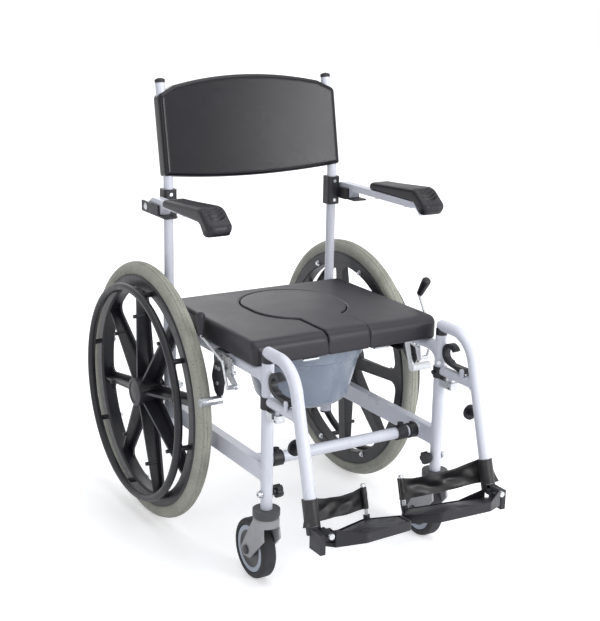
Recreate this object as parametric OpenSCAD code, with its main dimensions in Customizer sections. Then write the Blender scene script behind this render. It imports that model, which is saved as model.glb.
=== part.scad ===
// Commode chair on self-propelling wheels: swing-away legrests with flip-up
// footplates, flip-up arms, lift-out seat lid, slide-out bucket, lift-off back.
// Front is -Y. Inside the modules y is measured from the rear axle.

/* [Overall] */
// Height of the seat top above the floor
seat_h = 519; // [500:1:630]
// Distance across between the post centres
frame_w = 434; // [430:1:530]
// Distance from the front posts to the rear posts
frame_l = 460; // [450:1:560]
// Height of the back tubes above the seat
back_rise = 480; // [440:1:600]
// Height of the arm pivots above the seat
arm_rise = 210; // [180:1:230]

/* [Frame tubes] */
// Diameter of the front posts, rails and legrest tubes
tube_d = 25.4; // [24:0.1:28]
// Wall of the frame tubes
tube_wall = 2.2; // [1.5:0.1:3]
// Diameter of the rear posts
rear_d = 28.6; // [28:0.1:32]
// Wall of the rear posts
rear_wall = 3; // [2.5:0.1:3.2]
// Diameter of the back tubes
back_d = 22.2; // [20:0.1:22.2]
// Wall of the back tubes
back_wall = 1.8; // [1.4:0.1:2]
// Height of the low side rails at their centre
low_rail_z = 251; // [225:1:275]
// Height of the section of the low side rails
low_rail_h = 38; // [30:1:44]
// Width of the section of the low side rails
low_rail_w = 20; // [16:1:22]
// Diameter of the cross tube between the rear posts
back_cross_d = 16; // [14:0.5:18]
// Distance from the front posts back to the low cross tube
cross_back = 60; // [50:1:90]

/* [Rear wheels] */
// Diameter of the rear wheels over the tyres
wheel_d = 600; // [500:1:640]
// Distance of each wheel plane outside its post centre
wheel_out = 55; // [52:1:64]
// Diameter of the tyre section
tyre_w = 35; // [30:1:36]
// Depth of the rim section
rim_depth = 29; // [24:1:34]
// Turn of the left wheel as it stands
turn_left = -9.5; // [-22:0.5:22]
// Turn of the right wheel as it stands
turn_right = -4.5; // [-22:0.5:22]
// Spokes in each wheel
spokes = 8; // [6:1:10]
// Width of a spoke face
spoke_w = 29; // [22:1:34]
// Thickness of the rib behind each spoke
rib_t = 6; // [4:0.5:9]
// Diameter of the hub barrel
hub_d = 66; // [56:1:72]
// Diameter of the handrim tube
handrim_t = 18; // [16:1:22]
// Distance of the handrim outside the wheel plane
handrim_out = 42; // [38:1:50]
// Diameter of the wheel axles
axle_d = 12.7; // [10:0.1:14]

/* [Castors] */
// Diameter of the castor wheels
castor_d = 130; // [110:1:140]
// Width of the castor wheels
castor_w = 32; // [26:1:34]
// Thickness of the castor tyre
castor_tyre_t = 14.5; // [10:0.5:18]
// Distance of the castor axle behind its stem
castor_trail = 44; // [36:1:52]
// Diameter of the castor stems
stem_d = 16; // [12:0.5:18]
// Diameter of the castor head
castor_head = 56; // [50:1:60]

/* [Seat] */
// Thickness of the seat cushion
seat_t = 49; // [44:1:60]
// Distance the cushion reaches past the post centres at each side
seat_side = 13; // [8:1:16]
// Distance from the front posts back to the cushion front
seat_back = 32; // [26:1:60]
// Radius of the rolled front edge of the cushion
seat_roll = 22; // [14:1:26]
// Radius of the rolled side edges of the cushion
side_roll = 10; // [6:1:14]
// Distance from the rear axle forward to the cushion back
seat_rear = 25; // [22:1:40]
// Thickness of the seat board
board_t = 8; // [6:0.5:12]
// Radius of the round end of the seat opening
lid_r = 112; // [100:1:118]
// Half width of the slot at the front of the seat opening
slot_half = 53; // [40:1:60]
// Gap around the lid
lid_gap = 1.5; // [1:0.1:3]

/* [Bucket] */
// Radius of the bucket at its rim
bucket_r = 136; // [120:1:140]
// Depth of the bucket
bucket_depth = 140; // [110:1:170]
// Wall of the bucket
bucket_wall = 2.6; // [2:0.1:4]

/* [Back] */
// Lean of the upper back tubes
back_lean = 10.6; // [5:0.1:14]
// Distance the back pad reaches past the post centres at each side
back_side = 13; // [12:0.5:16]
// Thickness of the back pad
back_pad_t = 42; // [34:1:50]

/* [Legrests] */
// Reach of the legrest corner in front of the front posts
leg_reach = 98.7; // [85:0.1:115]
// Lean of the lower leg from upright
leg_lean = 15.7; // [8:0.1:20]
// Radius of the legrest bend
leg_bend = 71; // [55:1:76]
// Height of the lower end of the leg
leg_end_z = 205; // [195:1:230]
// Thickness of the heel strap
strap_t = 2; // [1.5:0.1:3]
// Slope of the footplate, toes up
foot_tilt = 19.3; // [10:0.1:22]

/* [Clearances] */
// Gap at a welded or clamped joint
weld_gap = 0.15; // [0.1:0.05:0.3]
// Gap between pieces that only rest together
seat_gap = 0.3; // [0.2:0.05:0.5]
// Radial clearance of a turning shaft
run_gap = 0.05; // [0.03:0.01:0.1]
// Radial clearance of a sliding tube
slide_gap = 0.2; // [0.1:0.05:0.4]
// Swelling of a tube where it is bent
swell = 0.05; // [0.02:0.01:0.1]
// Length by which a bend takes in the straight tube
bend_lap = 0.6; // [0.4:0.1:1]

/* [Hidden] */
$fn = 64;
eps = 0.01;
white = "#eef0f6";
black = "#1e1e20";
charcoal = "#2c2c2f";
silver = "#b9bcc0";

post_x = frame_w / 2;
front_y = -frame_l;
pad_z0 = seat_h - seat_t;
rail_z = pad_z0 - seat_gap - tube_d / 2;
hang_z = seat_h - 11;
branch_z = rail_z - tube_d / 2 - 36.3;
post_top = hang_z - 20.5;
collar_r = tube_d / 2 + 2.3;
button_off = (tube_d / 2 + seat_gap) * sin(45);
collar_z = 153;
collar_top = collar_z + 18.5;
rear_top = seat_h - 32;
rear_bottom = 168;
rear_id = rear_d - 2 * rear_wall;
post_id = tube_d - 2 * tube_wall;
axle_z = wheel_d / 2;
track_x = post_x + wheel_out;
tyre_r = wheel_d / 2 - tyre_w / 2;
rim_out = tyre_r - 12.5;
rim_in = rim_out - rim_depth;
rim_half = tyre_w / 2 - 1;
arm_z = seat_h + arm_rise;
bend_z = arm_z + 61;
lean_len = (back_rise + seat_h - bend_z) / cos(back_lean);
knob_z = rail_z - tube_d / 2 - 17.3;
bolt_z = 205;

// the leg runs from its bend to the footplate socket
bend_turn = 90 - leg_lean;
bend_tan = leg_bend * tan(bend_turn / 2);
corner_y = front_y - leg_reach;
leg_y = corner_y - (hang_z - 209) * tan(leg_lean);
foot_tip = leg_y - 91.6;
axle_y = -(axle_z + foot_tip) / 2;

function arc(cx, cy, r, a0, a1, n) =
    [for (i = [0:n]) [cx + r * cos(a0 + (a1 - a0) * i / n), cy + r * sin(a0 + (a1 - a0) * i / n)]];
function leg_at(z) = corner_y - (hang_z - z) * tan(leg_lean);

module right() translate([0, axle_y, 0]) children();
module left() translate([0, axle_y, 0]) mirror([1, 0, 0]) children();
module pair() {
    right() children();
    left() children();
}
module rod_x(x0, x1, y, z, r) translate([x0, y, z]) rotate([0, 90, 0]) cylinder(h = x1 - x0, r = r);
module rod_y(y0, y1, x, z, r) translate([x, y0, z]) rotate([-90, 0, 0]) cylinder(h = y1 - y0, r = r);
module rod_z(z0, z1, x, y, r) translate([x, y, z0]) cylinder(h = z1 - z0, r = r);
module box(x0, x1, y0, y1, z0, z1) translate([x0, y0, z0]) cube([x1 - x0, y1 - y0, z1 - z0]);
// a flat shape drawn in y and z, given a thickness along x
module side_plate(x0, t) translate([x0, 0, 0]) rotate([90, 0, 90]) linear_extrude(t) children();
module ring(d, wall) difference() {
    circle(d = d);
    circle(d = d - 2 * wall);
}
module round_rect(w, l, r) hull()
    for (sx = [-1, 1], sy = [-1, 1]) translate([sx * (w / 2 - r), sy * (l / 2 - r)]) circle(r = r, $fn = 32);
module dome(r, h) rotate_extrude() intersection() {
    translate([0, h - (r * r + h * h) / (2 * h)]) circle(r = (r * r + h * h) / (2 * h), $fn = 96);
    square([r, h]);
}
module leg_rod(z0, z1, r, x = post_x) translate([x, leg_at(z1), z1]) rotate([-leg_lean, 0, 0])
    translate([0, 0, -(z1 - z0) / cos(leg_lean)]) cylinder(h = (z1 - z0) / cos(leg_lean), r = r);

// ---- frame ----
module front_posts() color(white) pair() difference() {
    rod_z(collar_top, post_top, post_x, front_y, tube_d / 2);
    rod_z(collar_top - 1, post_top + 1, post_x, front_y, post_id / 2);
    rod_x(post_x - 20, post_x + 20, front_y, bolt_z, 4.2);
}
module rear_posts() color(white) pair() difference() {
    rod_z(rear_bottom, rear_top, post_x, 0, rear_d / 2);
    rod_z(rear_bottom - 1, rear_top + 1, post_x, 0, rear_id / 2);
    rod_x(post_x - 20, post_x + 20, 0, axle_z, axle_d / 2 + weld_gap);
    rod_y(-20, 0, post_x, knob_z, 4.2);
}
module post_cuts() {
    rod_z(0, seat_h, post_x, front_y, tube_d / 2 + weld_gap);
    rod_z(0, seat_h, post_x, 0, rear_d / 2 + weld_gap);
}
module side_rails() color(white) pair() {
    difference() {
        union() {
            rod_y(front_y, 0, post_x, rail_z, tube_d / 2);
            side_plate(post_x - 2.5, 5) difference() {
                translate([front_y, rail_z - tube_d / 2 - 24]) square([38, 30]);
                translate([front_y + 40, rail_z - tube_d / 2 - 26]) circle(r = 25);
            }
        }
        rod_y(front_y - 1, 1, post_x, rail_z, post_id / 2);
        rod_x(post_x - 40, post_x, 2.5, rail_z, back_cross_d / 2 + weld_gap);
        post_cuts();
    }
}
module lower_rails() color(white) pair() difference() {
    box(post_x - low_rail_w / 2, post_x + low_rail_w / 2, front_y, 0,
        low_rail_z - low_rail_h / 2, low_rail_z + low_rail_h / 2);
    box(post_x - low_rail_w / 2 + 2, post_x + low_rail_w / 2 - 2, front_y - 1, 1,
        low_rail_z - low_rail_h / 2 + 2, low_rail_z + low_rail_h / 2 - 2);
    post_cuts();
}
module cross_tubes() color(white) right() {
    low_x = post_x - low_rail_w / 2 - weld_gap;
    difference() {
        union() {
            rod_x(-low_x, low_x, front_y + cross_back, low_rail_z, tube_d / 2);
            for (s = [-1, 1]) rod_x(s * (low_x - 3.5) - 3.5, s * (low_x - 3.5) + 3.5,
                front_y + cross_back, low_rail_z, 18);
        }
        rod_x(-low_x - 1, low_x + 1, front_y + cross_back, low_rail_z, post_id / 2);
    }
    difference() {
        rod_x(-post_x, post_x, 2.5, rail_z, back_cross_d / 2);
        rod_x(-post_x - 1, post_x + 1, 2.5, rail_z, back_cross_d / 2 - tube_wall);
        for (s = [-1, 1]) rod_z(0, seat_h, s * post_x, 0, rear_d / 2 + weld_gap);
    }
}
module tube_clamps() color(black) pair() {
    y = front_y + cross_back;
    x1 = post_x - low_rail_w / 2 - 7.4;
    difference() {
        union() {
            rod_x(x1 - 19, x1, y, low_rail_z, 17);
            rod_x(x1 - 51, x1 - 27, y, low_rail_z, 17);
            rod_z(low_rail_z, low_rail_z + 23, x1 - 39, y, 7);
            rod_z(low_rail_z, low_rail_z + 20, x1 - 9, y, 5);
        }
        rod_x(x1 - 60, x1 + 1, y, low_rail_z, tube_d / 2 + weld_gap);
    }
    difference() {
        union() {
            rod_z(rear_top, rear_top + 10, post_x, 0, rear_d / 2 + 1.2);
            rod_z(rear_top - 6, rear_top, post_x, 0, rear_d / 2 + 1.2);
            box(post_x - 8, post_x + 8, seat_gap - seat_rear, 0, rear_top - 12, rear_top + 10);
        }
        rod_z(rear_top - 13, rear_top, post_x, 0, rear_d / 2 + weld_gap);
        rod_z(rear_top - 7, rear_top + 11, post_x, 0, back_d / 2 + slide_gap);
    }
    rod_z(rear_bottom - 4, rear_bottom, post_x, 0, rear_d / 2);
    rod_z(rear_bottom, rear_bottom + 14, post_x, 0, rear_id / 2 - weld_gap);
}
module post_collars() color(black) pair() difference() {
    union() {
        rod_z(branch_z - 17, branch_z + 8, post_x, front_y, collar_r);
        rod_x(post_x - 20, post_x - 10, front_y, branch_z - 4, 5);
    }
    rod_z(branch_z - 18, branch_z + 9, post_x, front_y, tube_d / 2 + weld_gap);
}
// the catch lets a pin under the legrest branch leave towards the outside
module catch_blocks() color(silver) pair() {
    y0 = front_y - 54;
    y1 = front_y - 12;
    difference() {
        box(post_x - 10, post_x + 10, y0, y1, branch_z - 33, branch_z - 17.3);
        rod_z(branch_z - 34, branch_z, post_x, front_y, tube_d / 2 + weld_gap);
        translate([post_x, front_y, branch_z - 27]) rotate([0, 0, -97]) rotate_extrude(angle = 60)
            translate([35, 0]) square([10, 20]);
        rod_z(branch_z - 27, branch_z, post_x, front_y - 40, 5);
        rod_x(post_x - 12, post_x + 12, y0 + 7, branch_z - 29, 2.5);
    }
    translate([post_x - button_off, front_y - button_off, branch_z + 21]) rotate([90, 0, -45])
        difference() {
            cylinder(h = 7, r = 4.5);
            translate([0, 0, -8 + 0.15]) cylinder(h = 8, r = 6);
        }
}
module knob(r, h, lobes) linear_extrude(h) difference() {
    circle(r = r);
    for (i = [0:lobes - 1]) rotate(i * 360 / lobes) translate([r * 1.18, 0]) circle(r = r * 0.36, $fn = 32);
}
module lock_knobs() color(black) pair() {
    difference() {
        union() {
            rod_x(post_x - tube_d / 2 - 8, post_x - tube_d / 2 - 1, front_y, bolt_z, 7.5);
            translate([post_x - tube_d / 2 - 8, front_y, bolt_z]) rotate([0, -90, 0]) knob(14, 13, 5);
        }
        rod_x(post_x - tube_d / 2 - 15, post_x, front_y, bolt_z, 4 + weld_gap);
    }
    difference() {
        union() {
            rod_y(-rear_d / 2 - 8, -rear_d / 2 - 1, post_x, knob_z, 7.5);
            rod_y(-rear_d / 2 - 20, -rear_d / 2 - 8, post_x, knob_z, 9);
            box(post_x - 21, post_x + 21, -rear_d / 2 - 19, -rear_d / 2 - 12, knob_z - 6, knob_z + 6);
        }
        rod_y(-rear_d / 2 - 14, 0, post_x, knob_z, 4 + weld_gap);
    }
}
module post_bolts() color(silver) pair() {
    rod_x(post_x - tube_d / 2 - 14, post_x + tube_d / 2 + 2, front_y, bolt_z, 4);
    difference() {
        rod_x(post_x + tube_d / 2 + 2, post_x + tube_d / 2 + 8, front_y, bolt_z, 7);
        translate([post_x + tube_d / 2 + 5, front_y, bolt_z]) rotate([0, 90, 0])
            cylinder(h = 4, r = 3.4, $fn = 6);
    }
    rod_x(post_x + tube_d / 2 + 0.6, post_x + tube_d / 2 + 2, front_y, bolt_z, 9);
    rod_y(-rear_d / 2 - 13, -back_d / 2 - seat_gap, post_x, knob_z, 4);
    difference() {
        translate([post_x, rear_d / 2 - 2, knob_z]) rotate([-90, 0, 0]) cylinder(h = 9, r = 7, $fn = 6);
        rod_z(knob_z - 20, knob_z + 20, post_x, 0, rear_d / 2 + weld_gap);
    }
}
module wheel_axles() color(silver) pair() {
    inner = post_x - rear_d / 2 - 0.4;
    rod_x(inner - 16, track_x + 22, 0, axle_z, axle_d / 2);
    translate([inner - 10, 0, axle_z]) rotate([0, 90, 0]) cylinder(h = 8, r = 11, $fn = 6);
    rod_x(inner - 2, inner, 0, axle_z, 12.5);
    difference() {
        rod_x(post_x + 5, track_x - 28.6, 0, axle_z, 10);
        rod_z(0, seat_h, post_x, 0, rear_d / 2 + weld_gap);
    }
}
module castor_collars() color("#4a4a4c") pair() difference() {
    union() {
        rod_z(collar_z + 5, collar_top - seat_gap, post_x, front_y, 29);
        translate([post_x, front_y, collar_z]) cylinder(h = 5, r1 = 27, r2 = 29);
        rod_z(collar_top - 2, bolt_z + 20, post_x, front_y, post_id / 2 - weld_gap);
    }
    rod_z(collar_z - 1, bolt_z - 8, post_x, front_y, stem_d / 2 + run_gap);
    rod_x(post_x - 20, post_x + 20, front_y, bolt_z, 4.2);
}

// ---- seat ----
seat_y0 = front_y + seat_back;
seat_y1 = -seat_rear;
seat_mid = (seat_y0 + seat_y1) / 2;
hole_y = front_y / 2 + 39;
seat_half = post_x + seat_side;
board_half = seat_half - 8;
board_front = seat_y0 + 12;
bucket_y = front_y / 2 - 3;

// the opening is a long round with a slot to the front, its corners filleted
module opening_shape(grow) {
    fillet = 18;
    cx = slot_half + fillet;
    cy = hole_y - 18;
    dy = -sqrt(pow(lid_r + fillet, 2) - cx * cx);
    a = atan2(dy, cx);
    polygon(concat([[slot_half + grow, seat_y0 - 60]],
        arc(cx, cy + dy, fillet - grow, 180, 180 + a, 6), arc(0, cy, lid_r + grow, a * 11 / 12, 0, 11),
        arc(0, hole_y + 18, lid_r + grow, 0, 180, 36), arc(0, cy, lid_r + grow, 180, 180 - a * 11 / 12, 11),
        arc(-cx, cy + dy, fillet - grow, -a, 0, 6), [[-slot_half - grow, seat_y0 - 60]]));
}
// side view, front view and plan of the cushion, crossed with one another
module cushion_block() intersection() {
    side_plate(-seat_half, 2 * seat_half) polygon(concat([[seat_y0 + 3, pad_z0]],
        arc(seat_y0 + seat_roll, seat_h - seat_roll, seat_roll, 180, 90, 8),
        arc(seat_y1 - side_roll, seat_h - side_roll, side_roll, 90, 0, 5), [[seat_y1, pad_z0]]));
    translate([0, seat_y1, 0]) rotate([90, 0, 0]) linear_extrude(seat_y1 - seat_y0) polygon(concat(
        [[-seat_half, pad_z0]], arc(side_roll - seat_half, seat_h - side_roll, side_roll, 180, 90, 5),
        arc(seat_half - side_roll, seat_h - side_roll, side_roll, 90, 0, 5), [[seat_half, pad_z0]]));
    translate([0, seat_mid, pad_z0]) linear_extrude(seat_t)
        round_rect(2 * seat_half, seat_y1 - seat_y0, 16);
}
module seat_pad() color(charcoal) right() difference() {
    cushion_block();
    translate([0, 0, pad_z0 - 1]) linear_extrude(seat_t + 2) opening_shape(0);
    box(-board_half - seat_gap, board_half + seat_gap, board_front - seat_gap, seat_y1 - 8,
        pad_z0 - 1, pad_z0 + board_t + seat_gap);
}
module seat_lid() color(charcoal) right() difference() {
    intersection() {
        cushion_block();
        translate([0, 0, pad_z0]) linear_extrude(seat_t) opening_shape(-lid_gap);
    }
    box(-board_half, board_half, board_front - seat_gap, 0, pad_z0 - 1, pad_z0 + board_t + seat_gap);
    translate([0, hole_y, pad_z0]) cylinder(h = board_t + 14, r1 = 92, r2 = 86);
}
module seat_base() color(black) right() {
    lip_x = bucket_r + 2.5;
    difference() {
        union() {
            box(-board_half, board_half, board_front, seat_y1 - 8.3, pad_z0 + eps, pad_z0 + board_t);
            for (s = [-1, 1]) {
                box(s * (bucket_r + 17) - 1.6, s * (bucket_r + 17) + 1.6, board_front + 4, bucket_y + 156,
                    pad_z0 - 20, pad_z0 + 1);
                box(min(s * lip_x, s * (bucket_r + 18)), max(s * lip_x, s * (bucket_r + 18)),
                    board_front + 4, bucket_y + 156, pad_z0 - 20, pad_z0 - 17.5);
                difference() {
                    box(s * 90 - 19, s * 90 + 19, board_front - 3, board_front + 29, pad_z0 - 7, pad_z0 - 4);
                    box(s * 90 - 11, s * 90 + 11, board_front + 3, board_front + 10, pad_z0 - 8, pad_z0 - 3);
                }
                box(s * 90 - 15, s * 90 + 15, board_front + 24, board_front + 28, pad_z0 - 5, pad_z0 + 1);
            }
            box(-60, 60, bucket_y + 153, bucket_y + 156, pad_z0 - 20, pad_z0 + 1);
        }
        rod_z(pad_z0 - 1, pad_z0 + board_t + 1, 0, hole_y, 105);
        box(-42, 42, board_front - 5, hole_y, pad_z0 - 1, pad_z0 + board_t + 1);
        for (s = [-1, 1]) for (y = [board_front + 40, seat_y1 - 50])
            rod_z(pad_z0 - 1, pad_z0 + board_t + 1, s * (board_half - 9), y, 3);
    }
}
// the bucket wall steps in under its flange and turns in to a flat floor
module bucket() color("#8e9cab") right() {
    top = pad_z0 - 14;
    low = top - 3.2 - bucket_depth;
    r1 = bucket_r;
    r2 = bucket_r - 5;
    rb = bucket_r - 28;
    outer = concat([[0, low]], arc(rb - 28, low + 28, 28, -90, -8, 8),
        [[r2, top - 32], [r1, top - 28], [r1, top - 3.2], [r1 + 14, top - 3.2], [r1 + 14, top]]);
    inner = concat([[r1 - bucket_wall, top], [r1 - bucket_wall, top - 26.5], [r2 - bucket_wall, top - 31]],
        [for (i = [0:8]) arc(rb - 28, low + 28, 28 - bucket_wall, -8, -90, 8)[i]], [[0, low + bucket_wall]]);
    translate([0, bucket_y, 0]) rotate_extrude($fn = 96) polygon(concat(outer, inner));
}

// ---- back ----
module lean_frame() translate([0, 0, bend_z]) rotate([-back_lean, 0, 0]) children();
module back_tubes() color(white) pair() {
    r = 60;
    t = r * tan(back_lean / 2);
    z0 = axle_z + 40;
    translate([post_x, 0, z0]) linear_extrude(bend_z - t - z0 + bend_lap) ring(back_d, back_wall);
    translate([post_x, r, bend_z - t]) rotate([90, 0, 90]) rotate([0, 0, 180 - back_lean])
        rotate_extrude(angle = back_lean) translate([r, 0]) ring(back_d + 2 * swell, back_wall + 2 * swell);
    lean_frame() translate([post_x, 0, t - bend_lap]) linear_extrude(lean_len - t + bend_lap)
        ring(back_d, back_wall);
}
module tube_caps() color(black) pair() lean_frame() {
    translate([post_x, 0, lean_len + weld_gap]) cylinder(h = 7, r = back_d / 2 + 0.6);
    translate([post_x, 0, lean_len + weld_gap + 7]) dome(back_d / 2 + 0.6, 4);
    translate([post_x, 0, lean_len - 16]) cylinder(h = 16 + weld_gap, r = back_d / 2 - back_wall - weld_gap);
}
module back_pad() color(charcoal) right() lean_frame() {
    half = post_x + back_side;
    sag = 15;
    big = half * half / (2 * sag);
    sweep = asin(half / big);
    top_mid = lean_len + 14.4;
    top_side = lean_len - 27.6;
    low_r = (half * half + 22 * 22) / 44;
    top_r = 855;
    top_a = asin((half - 42) / top_r);
    difference() {
        intersection() {
            translate([0, 0, -30]) linear_extrude(lean_len + 60) polygon(concat(
                arc(0, sag - big, big + back_pad_t / 2, 90 - sweep - 1, 90 + sweep + 1, 20),
                arc(0, sag - big, big - back_pad_t / 2, 90 + sweep + 1, 90 - sweep - 1, 20)));
            rotate([90, 0, 0]) translate([0, 0, -100]) linear_extrude(200) polygon(concat(
                arc(0, low_r - 8, low_r, -90 - asin(half / low_r) + 1, -90 + asin(half / low_r) - 1, 16),
                [[half, 17], [half, top_side], [half - 38, top_side + 19]],
                arc(0, top_mid - top_r, top_r, 90 - top_a, 90 + top_a, 16),
                [[38 - half, top_side + 19], [-half, top_side], [-half, 17]]));
        }
        for (s = [-1, 1]) rod_z(-60, lean_len + 60, s * post_x, 0, back_d / 2 + seat_gap);
    }
}

// ---- arms ----
arm_in = post_x + 20.5;
bar_w = 22;
pin_y = 15;
pad_bolts = [-150, -265];
clamp_screws = [arm_z - 19, arm_z + 27];
module arm_clamps() color(black) pair() difference() {
    union() {
        translate([post_x, 1, arm_z - 29]) linear_extrude(67) round_rect(32, 32, 7);
        box(post_x + 10, arm_in, -48, 37, arm_z - 13, arm_z + 13);
        box(post_x + 15.5, arm_in + 29, -80, 37, arm_z - 13, arm_z - 9.5);
        box(arm_in + bar_w + 2.5, arm_in + 29, -48, 37, arm_z - 13, arm_z + 11);
    }
    rod_z(arm_z - 40, arm_z + 50, post_x, 0, back_d / 2 + weld_gap);
    rod_x(arm_in - 3, arm_in + 40, pin_y, arm_z, 4 + weld_gap);
    for (z = clamp_screws) rod_y(-20, -12, post_x, z, 4.5);
}
module arm_pins() color(silver) pair() {
    rod_x(arm_in - 2.8, arm_in + 30, pin_y, arm_z, 4);
    translate([arm_in + 29.3, pin_y, arm_z]) rotate([0, 90, 0]) dome(8, 3);
    for (z = clamp_screws) rod_y(-16, -12.3, post_x, z, 4);
}
// the bar ends in a thin tongue that turns down under the nose of the pad
module arm_bar() difference() {
    side_plate(arm_in + 0.5, bar_w) polygon(concat(arc(pin_y, arm_z, 9, -90, 90, 10),
        [[pin_y - 22, arm_z + 23], [-306.8, arm_z + 23], [-336.2, arm_z - 0.4], [-333.8, arm_z - 3.6],
         [-304.8, arm_z + 19], [-300, arm_z + 19], [-300, arm_z + 8],
         [pin_y - 78, arm_z + 8], [pin_y - 66, arm_z - 9]]));
    rod_x(arm_in - 1, arm_in + bar_w + 2, pin_y, arm_z, 4 + run_gap);
    for (y = pad_bolts) rod_z(arm_z, arm_z + 30, arm_in + 0.5 + bar_w / 2, y, 3.2);
}
module arm_bar_r() color(white) right() arm_bar();
module arm_bar_l() color(white) left() arm_bar();
module arm_pad() {
    base = arm_z + 23 + seat_gap;
    x0 = arm_in - 0.5;
    w = 59;
    intersection() {
        side_plate(x0, w) difference() {
            polygon(concat([[-125, base], [-125, base + 10]], arc(-140, base + 4, 14, 25, 90, 5),
                arc(-300, base - 2, 30, 90, 128, 6), arc(-336.1, base - 11.1, 15, 128, 308, 14),
                [[-312, base - 5], [-300.5, base]]));
            for (i = [0:3]) translate([-322.2 - i * 7.9, base + 22.4 - i * 6.2]) circle(r = 4.2, $fn = 24);
        }
        translate([x0 + w / 2, -238, base - 40]) linear_extrude(90) round_rect(w, 228, 22);
        difference() {
            translate([x0, -400, base - 60]) cube([w, 300, 120]);
            side_plate(x0 - 1, bar_w + 2.5) polygon([[-290, base], [-306.8, base], [-336.9, base - 23.9],
                [-336.9, base - 50], [-290, base - 50]]);
        }
    }
    for (y = pad_bolts) {
        rod_z(arm_z + 6, base + 1, arm_in + 0.5 + bar_w / 2, y, 3);
        rod_z(arm_z + 2, arm_z + 7.7, arm_in + 0.5 + bar_w / 2, y, 6);
    }
}
module arm_pad_r() color(charcoal) right() arm_pad();
module arm_pad_l() color(charcoal) left() arm_pad();

// ---- legrests ----
bend_y = corner_y + bend_tan;
branch_d = 22;
hinge_x = post_x - 8;
hinge_z = 205;
module hanger_tube() {
    translate([post_x, bend_y - bend_lap, hang_z]) rotate([-90, 0, 0])
        linear_extrude(front_y + 1.3 - bend_y + bend_lap) ring(tube_d, tube_wall);
    translate([post_x, bend_y, hang_z - leg_bend]) rotate([90, 0, 90]) rotate([0, 0, 90])
        rotate_extrude(angle = bend_turn) translate([leg_bend, 0])
        ring(tube_d + 2 * swell, tube_wall + 2 * swell);
    translate([post_x, corner_y - bend_tan * sin(leg_lean), hang_z - bend_tan * cos(leg_lean)])
        rotate([-leg_lean, 0, 0]) translate([0, 0, -leg_tube_len]) linear_extrude(leg_tube_len + bend_lap)
        ring(tube_d, tube_wall);
    translate([post_x, front_y + 0.3, hang_z]) rotate([-90, 0, 0]) dome(tube_d / 2 - swell, 11);
    difference() {
        union() {
            rod_y(leg_at(branch_z) - 2, front_y - 13, post_x, branch_z, branch_d / 2);
            rod_z(branch_z - 22, branch_z - 9, post_x, front_y - 40, 4);
            side_plate(post_x - 2.5, 5) polygon([[leg_at(branch_z) - 14, branch_z - 44],
                [leg_at(branch_z) - 8, branch_z - 8], [leg_at(branch_z) + 30, branch_z - 8],
                [leg_at(branch_z) + 6, branch_z - 20]]);
            for (s = [-1, 1]) side_plate(post_x + s * 9.4 - 1.5, 3) {
                translate([pivot_y, pivot_z]) circle(r = 6.5);
                translate([pivot_y - 5.5, branch_z]) square([11, pivot_z - branch_z]);
            }
            rod_x(post_x - 10, post_x + 10, pivot_y, pivot_z, 3);
        }
        rod_y(leg_at(branch_z) - 20, front_y - 58, post_x, branch_z, branch_d / 2 - 2);
        rod_z(branch_z - 40, branch_z + 40, post_x, front_y, collar_r + seat_gap);
        leg_rod(leg_end_z, hang_z - 50, tube_d / 2 + weld_gap);
    }
}
leg_tube_len = (hang_z - bend_tan * cos(leg_lean) - leg_end_z) / cos(leg_lean);
module hanger_tube_r() color(white) right() hanger_tube();
module hanger_tube_l() color(white) left() hanger_tube();
module hanger_plug() difference() {
    union() {
        rod_z(post_top + seat_gap, hang_z, post_x, front_y, tube_d / 2 - 0.2);
        rod_z(post_top - 62, post_top + 1, post_x, front_y, post_id / 2 - slide_gap);
    }
    rod_y(front_y - 40, front_y + 40, post_x, hang_z, tube_d / 2 + weld_gap);
}
module hanger_plug_r() color(black) right() hanger_plug();
module hanger_plug_l() color(black) left() hanger_plug();

// the socket closes the leg, carries the middle hinge knuckle and the bumper
module foot_socket() {
    y = leg_y;
    difference() {
        union() {
            leg_rod(leg_end_z - 14, leg_end_z + 2, tube_d / 2 + 2.2);
            box(post_x - 0.5, post_x + 11, y - 47, y - 6, leg_end_z - 40, leg_end_z + 2);
            rod_y(y - 39.7, y - 32.3, hinge_x, hinge_z, 7);
            box(hinge_x, post_x, y - 39.7, y - 32.3, hinge_z - 7, hinge_z + 2);
        }
        leg_rod(leg_end_z, leg_end_z + 40, tube_d / 2 + weld_gap);
        rod_y(y - 60, y, hinge_x, hinge_z, 3 + run_gap);
        box(post_x - 20, post_x - 15, y - 60, y, 100, leg_end_z + 40);
    }
    rod_y(leg_at(344) + 12, leg_at(344) + 30, post_x, 344, 7);
    translate([post_x, leg_at(344) + 30, 344]) rotate([-90, 0, 0]) cylinder(h = 6, r = 16.5);
    translate([post_x, leg_at(344) + 36, 344]) rotate([-90, 0, 0]) dome(16.5, 4);
}
module foot_socket_all() difference() {
    foot_socket();
    leg_rod(300, 400, tube_d / 2 + weld_gap);
}
module foot_socket_r() color(black) right() foot_socket_all();
module foot_socket_l() color(black) left() foot_socket_all();

foot_shape = [[post_x + 9, -42], [post_x - 64, -90.7], [36, -75], [2, 8], [46, 66], [post_x - 5, -21.5]];
module foot_outline(inset) hull() for (p = foot_shape) {
    m = [115, -12];
    d = m - p;
    translate(p + d / norm(d) * (9 + inset)) circle(r = 9, $fn = 24);
}
// a slab drawn in x and height, run along the sloping floor of the plate
module foot_slab() translate([0, leg_y - 42, 176]) rotate([-foot_tilt, 0, 0]) rotate([90, 0, 0])
    translate([0, 0, -160]) linear_extrude(320) children();
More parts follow.
